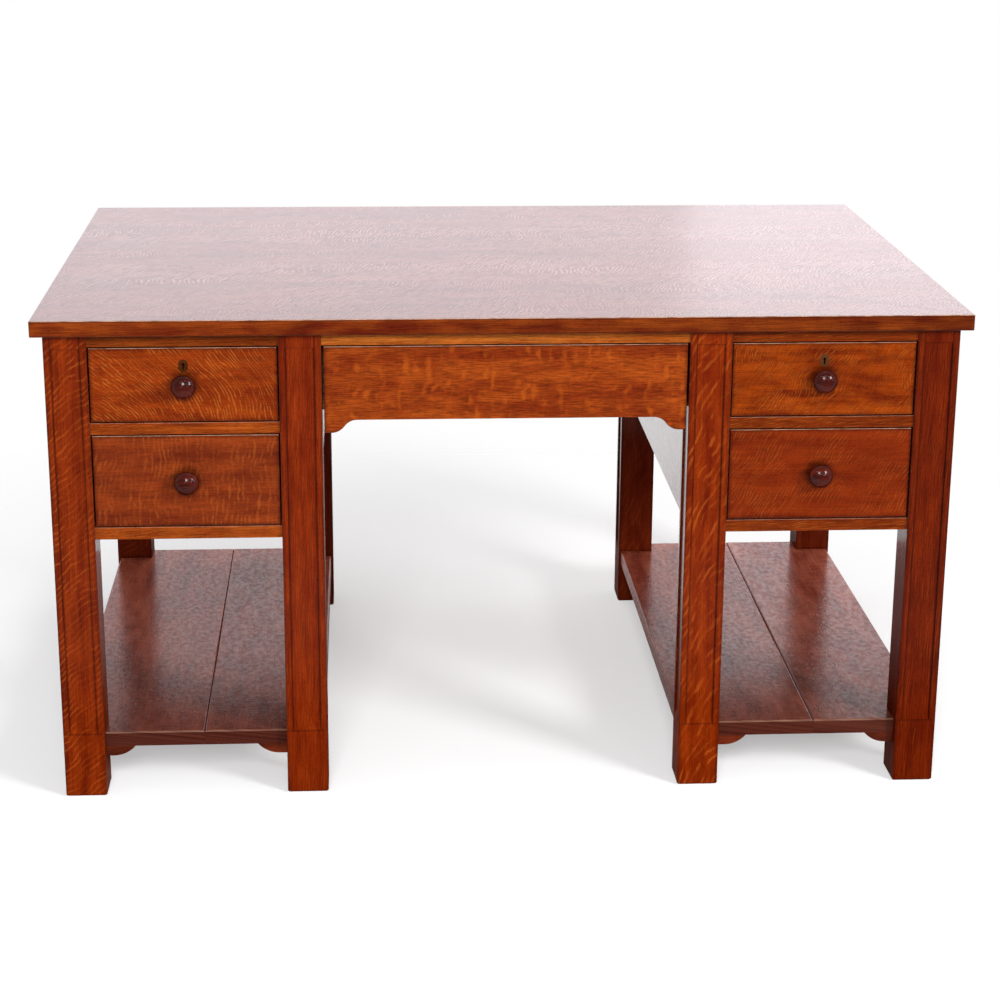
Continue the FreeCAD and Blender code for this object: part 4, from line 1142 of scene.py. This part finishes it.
@dataclass(frozen=True)
class TurnedKnob:
    """A turned knob, made as its half section carried round its axis.

    The section runs from the tenon's end, over the base, up a hollow cove to a rolled rim and
    over a low dome to its crown. The sizes are shares of the knob's greatest radius, but for
    the chamfer, which is in millimetres.
    """

    node: str
    tenon: float = 0.328
    base: float = 0.519
    rim: float = 0.246
    rim_level: float = 0.82
    chamfer: float = 0.15
    rows: int = 14
    columns: int = 72

    def section(self, radius: float, reach: float, depth: float) -> np.ndarray:
        """Works out the half section.

        The cove is a circle about a point level with the base, and the dome one about a point
        on the axis, and both meet the rim's circle without a corner.

        Args:
            radius: the rim's greatest radius.
            reach: how far the crown stands from the drawer's face.
            depth: how far the tenon goes in behind the face.

        Returns:
            Rows of distance from the axis and distance out from the face.
        """
        base, rim, level = self.base * radius, self.rim * radius, self.rim_level * radius
        inset, rise = radius - rim, reach - level
        offset = base - inset
        cove = (offset**2 + level**2 - rim**2) / (2 * (rim - offset))
        dome = (inset**2 + rise**2 - rim**2) / (2 * (rise - rim))
        cove_turn = math.atan2(level, inset - base - cove)
        dome_turn = math.atan2(level - reach + dome, inset)
        tenon, step = self.tenon * radius, self.chamfer * MM
        foot = [
            (0.0, -depth),
            (tenon - step, -depth),
            (tenon, -depth + step),
            (tenon, -step),
            (tenon + step, 0.0),
            (base - step, 0.0),
        ]
        turn = np.linspace(math.pi, cove_turn, self.rows)
        hollow = np.stack([base + cove + cove * np.cos(turn), cove * np.sin(turn)], axis=1)
        turn = np.linspace(cove_turn - math.pi, dome_turn, self.rows + 1)[1:]
        roll = np.stack([inset + rim * np.cos(turn), level + rim * np.sin(turn)], axis=1)
        turn = np.linspace(dome_turn, math.pi / 2, self.rows + 1)[1:]
        crown = np.stack([dome * np.cos(turn), reach - dome + dome * np.sin(turn)], axis=1)
        return np.concatenate([np.array(foot), hollow, roll, crown])

    def build(self) -> bpy.types.Object:
        """Turns the section about the knob's axis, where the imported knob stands.

        Returns:
            The knob, riding with its drawer.
        """
        low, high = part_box(self.node)
        outward = -1.0 if low.y + high.y < 0 else 1.0
        radius, middle = (high.x - low.x) / 2, (low + high) / 2
        tip, tail = (low.y, high.y) if outward < 0 else (high.y, low.y)
        face = outward * FACE_END
        section = self.section(radius, abs(tip - face), abs(tail - face))
        turn = np.linspace(0.0, math.tau, self.columns, endpoint=False)
        ring = np.stack([np.cos(turn), np.sin(turn)], axis=1)
        if outward > 0:
            ring = ring[::-1]
        points = np.empty((len(section), self.columns, 3))
        points[..., 0] = middle.x + section[:, :1] * ring[:, 0]
        points[..., 1] = face + outward * section[:, 1:]
        points[..., 2] = middle.z + section[:, :1] * ring[:, 1]
        knob = closed_mesh(self.node + "_turned", points)
        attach(knob, self.node.replace("_knob", ""))
        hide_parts(self.node)
        return knob


@dataclass(frozen=True)
class WornSlab:
    """The top: a slab whose arrises were eased by plane and then rubbed and knocked by use.

    A section, from the underside's rim up the edge to the upper face's rim, is carried round
    the slab's outline. Each arris is a quarter circle whose radius grows and shrinks along
    the way, and knocks bite a little deeper into it here and there. Lengths are in millimetres.
    """

    node: str = "table_top"
    arris: float = 1.0
    wear: float = 0.8
    waves: tuple[int, ...] = (9, 17, 31, 53, 97)
    wave_share: float = 0.22
    knock: float = 0.7
    least_bite: float = 0.3
    knocks: int = 26
    knock_width: tuple[float, float] = (3.0, 11.0)
    corner: float = 2.4
    corner_turns: int = 4
    rims: tuple[float, float] = (0.5, 4.0)
    pitch: float = 5.0
    turns: int = 6
    seed: int = 7

    def build(self) -> bpy.types.Object:
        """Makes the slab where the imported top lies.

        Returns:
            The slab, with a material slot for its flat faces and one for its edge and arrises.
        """
        low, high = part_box(self.node)
        outline, inward, run = self._outline(low, high)
        rng = np.random.default_rng(self.seed)
        rings = []
        for sign, level in ((-1, low.z), (1, high.z)):
            radius = self._arris(run, rng)[:, None]
            turn = np.linspace(0.0, math.pi / 2, self.turns + 1)
            if sign < 0:
                turn = turn[::-1]
            inset = radius * (1 - np.cos(turn))
            drop = radius * (1 - np.sin(turn))
            arris = [(inset[:, row], level - sign * drop[:, row]) for row in range(len(turn))]
            flat = [(radius[:, 0] + rim * MM, np.full(len(run), level)) for rim in self.rims]
            rings += flat[::-1] + arris if sign < 0 else arris + flat
        points = np.zeros((len(rings) + 2, len(run), 3))
        least, most = np.array(low[:2]), np.array(high[:2])
        for row, (inset, level) in enumerate(rings, start=1):
            inset = inset[:, None]
            points[row, :, :2] = np.clip(outline + inward * inset, least + inset, most - inset)
            points[row, :, 2] = level
        points[0, :, 2], points[-1, :, 2] = low.z, high.z
        slab = closed_mesh(self.node + "_worn", points)
        finish = np.ones(len(slab.data.polygons), np.int32)
        finish[: 2 * len(run)] = finish[-2 * len(run) :] = 0
        for _ in range(2):
            slab.data.materials.append(None)
        slab.data.polygons.foreach_set("material_index", finish)
        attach(slab, "desk_frame")
        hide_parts(self.node)
        return slab

    def _outline(self, low: Vector, high: Vector) -> tuple[np.ndarray, np.ndarray, np.ndarray]:
        """Walks round the slab: straight sides joined by small quarter circles.

        Args:
            low: the slab's lowest corner.
            high: its highest corner.

        Returns:
            The outline's points, the inward direction at each, and the distance walked.
        """
        corner = self.corner * MM
        centres = [
            (high.x - corner, low.y + corner, -math.pi / 2),
            (high.x - corner, high.y - corner, 0.0),
            (low.x + corner, high.y - corner, math.pi / 2),
            (low.x + corner, low.y + corner, math.pi),
        ]
        points, inward = [], []
        for number, (x, y, start) in enumerate(centres):
            turn = start + np.linspace(0.0, math.pi / 2, self.corner_turns + 1)
            way = np.stack([np.cos(turn), np.sin(turn)], axis=1)
            points.append(np.array([x, y]) + corner * way)
            inward.append(-way)
            ahead = centres[(number + 1) % 4]
            end = np.array(ahead[:2]) + corner * way[-1]
            span = np.linalg.norm(end - points[-1][-1])
            share = np.linspace(0.0, 1.0, int(span / (self.pitch * MM)))[1:-1, None]
            points.append(points[-1][-1] * (1 - share) + end * share)
            inward.append(np.repeat(-way[-1:], len(share), axis=0))
        outline = np.concatenate(points)
        step = np.linalg.norm(np.diff(outline, axis=0), axis=1)
        return outline, np.concatenate(inward), np.concatenate([[0.0], np.cumsum(step)])

    def _arris(self, run: np.ndarray, rng: np.random.Generator) -> np.ndarray:
        """Gives the arris's radius along the outline: slow waves and a few sharp knocks.

        Args:
            run: the distance walked at each point.
            rng: the source of the waves' phases and the knocks' places.

        Returns:
            The radius at each point.
        """
        whole = run[-1]
        waves = sum(
            np.sin(math.tau * count * run / whole + rng.uniform(0, math.tau)) / count**0.5
            for count in self.waves
        )
        radius = self.arris + self.wear * (0.5 + self.wave_share * waves).clip(0, 1)
        places = rng.uniform(0, whole, self.knocks)
        for place, width in zip(places, rng.uniform(*self.knock_width, self.knocks) * MM):
            bite = np.exp(-(((run - place) / width) ** 2))
            radius = radius + self.knock * rng.uniform(self.least_bite, 1) * bite
        return radius * MM


@dataclass
class Desk:
    """The whole desk: every CAD node dressed, and the new pieces made and dressed.

    The browned brass is what the left locks have come to: dark, dry and barely a metal's shine.
    """

    frame: dict
    brass: AgedBrass = field(default_factory=lambda: AgedBrass("aged brass"))
    browned: AgedBrass = field(
        default_factory=lambda: AgedBrass("browned brass", "#74401e", "#4a2410", 0.5)
    )

    def dress(self) -> None:
        """Gives every node its finish."""
        brass, browned = self.brass.material(), self.browned.material()
        for number, (name, node) in enumerate(sorted(self.frame["nodes"].items())):
            low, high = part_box(name)
            finish = self._finish_of(name)
            if finish is None:
                material = browned if "left" in name else brass
            else:
                finish = self._styled(finish, name, low, high)
                seed = NODE_STRIDE * number
                finish = replace(finish, name=f"{finish.name} {number}", seed=seed)
                material = finish.material(low, high)
            node.data.materials.clear()
            if name.endswith("_knob"):
                knob = TurnedKnob(name).build()
                knob.data.materials.append(material)
            elif name == "table_top":
                slab = WornSlab().build()
                slab.data.materials[0] = material
                slab.data.materials[1] = EDGE.material(low, high)
            node.data.materials.append(material)
            LOG.info("dressed %s with %s", name, material.name)

    @staticmethod
    def _styled(finish: Oak, name: str, low: Vector, high: Vector) -> Oak:
        """Gives a post, rails or a drawer front its own figure and tones, painted shade in a
        post's sunk panels and on the back posts, and a darker ring round a drawer's knob.

        Args:
            finish: the finish for the kind of piece.
            name: the node's name.
            low: the node's lowest corner.
            high: the node's highest corner.

        Returns:
            The node's own finish.
        """
        if name.endswith("_post"):
            middle = (low + high) / 2
            end, kind = name.removesuffix("_post").split("_", 1)
            outward = math.copysign(1, middle.x) * (1 if "outer" in name else -1)
            figure, tones = POST_STYLES[kind]
            # The back posts get darker tones as painted shade.
            if end == "back":
                figure, tones = {**figure, **BACK_FIGURE}, SHADED_BACK_TONES
            return replace(
                finish,
                figure=replace(finish.figure, **figure),
                sinking=(middle.x, middle.y, outward, math.copysign(1, middle.y)),
                **tones,
            )
        if name.endswith("_rails"):
            return replace(finish, **RAIL_STYLES[name.removesuffix("_rails")])
        if name.endswith("drawer_front"):
            kind = name.split("_", 1)[1].removesuffix("_drawer_front")
            figure, tones = FRONT_STYLES[kind]
            halo = None
            if "kneehole" not in name:
                knob_low, knob_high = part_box(name.replace("_front", "_knob"))
                halo = tuple((knob_low + knob_high) / 2)[::2]
            return replace(finish, figure=replace(finish.figure, **figure), halo=halo, **tones)
        return finish

    @staticmethod
    def _finish_of(name: str) -> Oak | None:
        """Chooses a node's finish by its name.

        Args:
            name: the node's name.

        Returns:
            The finish for the kind of piece, or None for brass.
        """
        for word, finish in (
            ("lock", None),
            ("bolt", None),
            ("_post", POST),
            ("side_panel", PANEL),
            ("_rails", RAIL),
            ("drawer_front", FRONT),
            ("drawer_knob", KNOB),
            ("drawer_box", LINING),
            ("table_top", TOP),
            ("shelf_brackets", BRACKET),
            ("left_shelf", replace(SHELF, steps=((Axis.X, -0.470),))),
            ("right_shelf", replace(SHELF, steps=((Axis.X, 0.495),))),
        ):
            if word in name:
                return finish
        return CARCASE


def main() -> None:
    """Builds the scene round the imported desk."""
    logging.basicConfig(level=logging.INFO, format="%(message)s")
    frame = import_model()
    bpy.context.scene.view_settings.view_transform = "Standard"
    Studio().build()
    Desk(frame).dress()


if __name__ == "__main__":
    main()
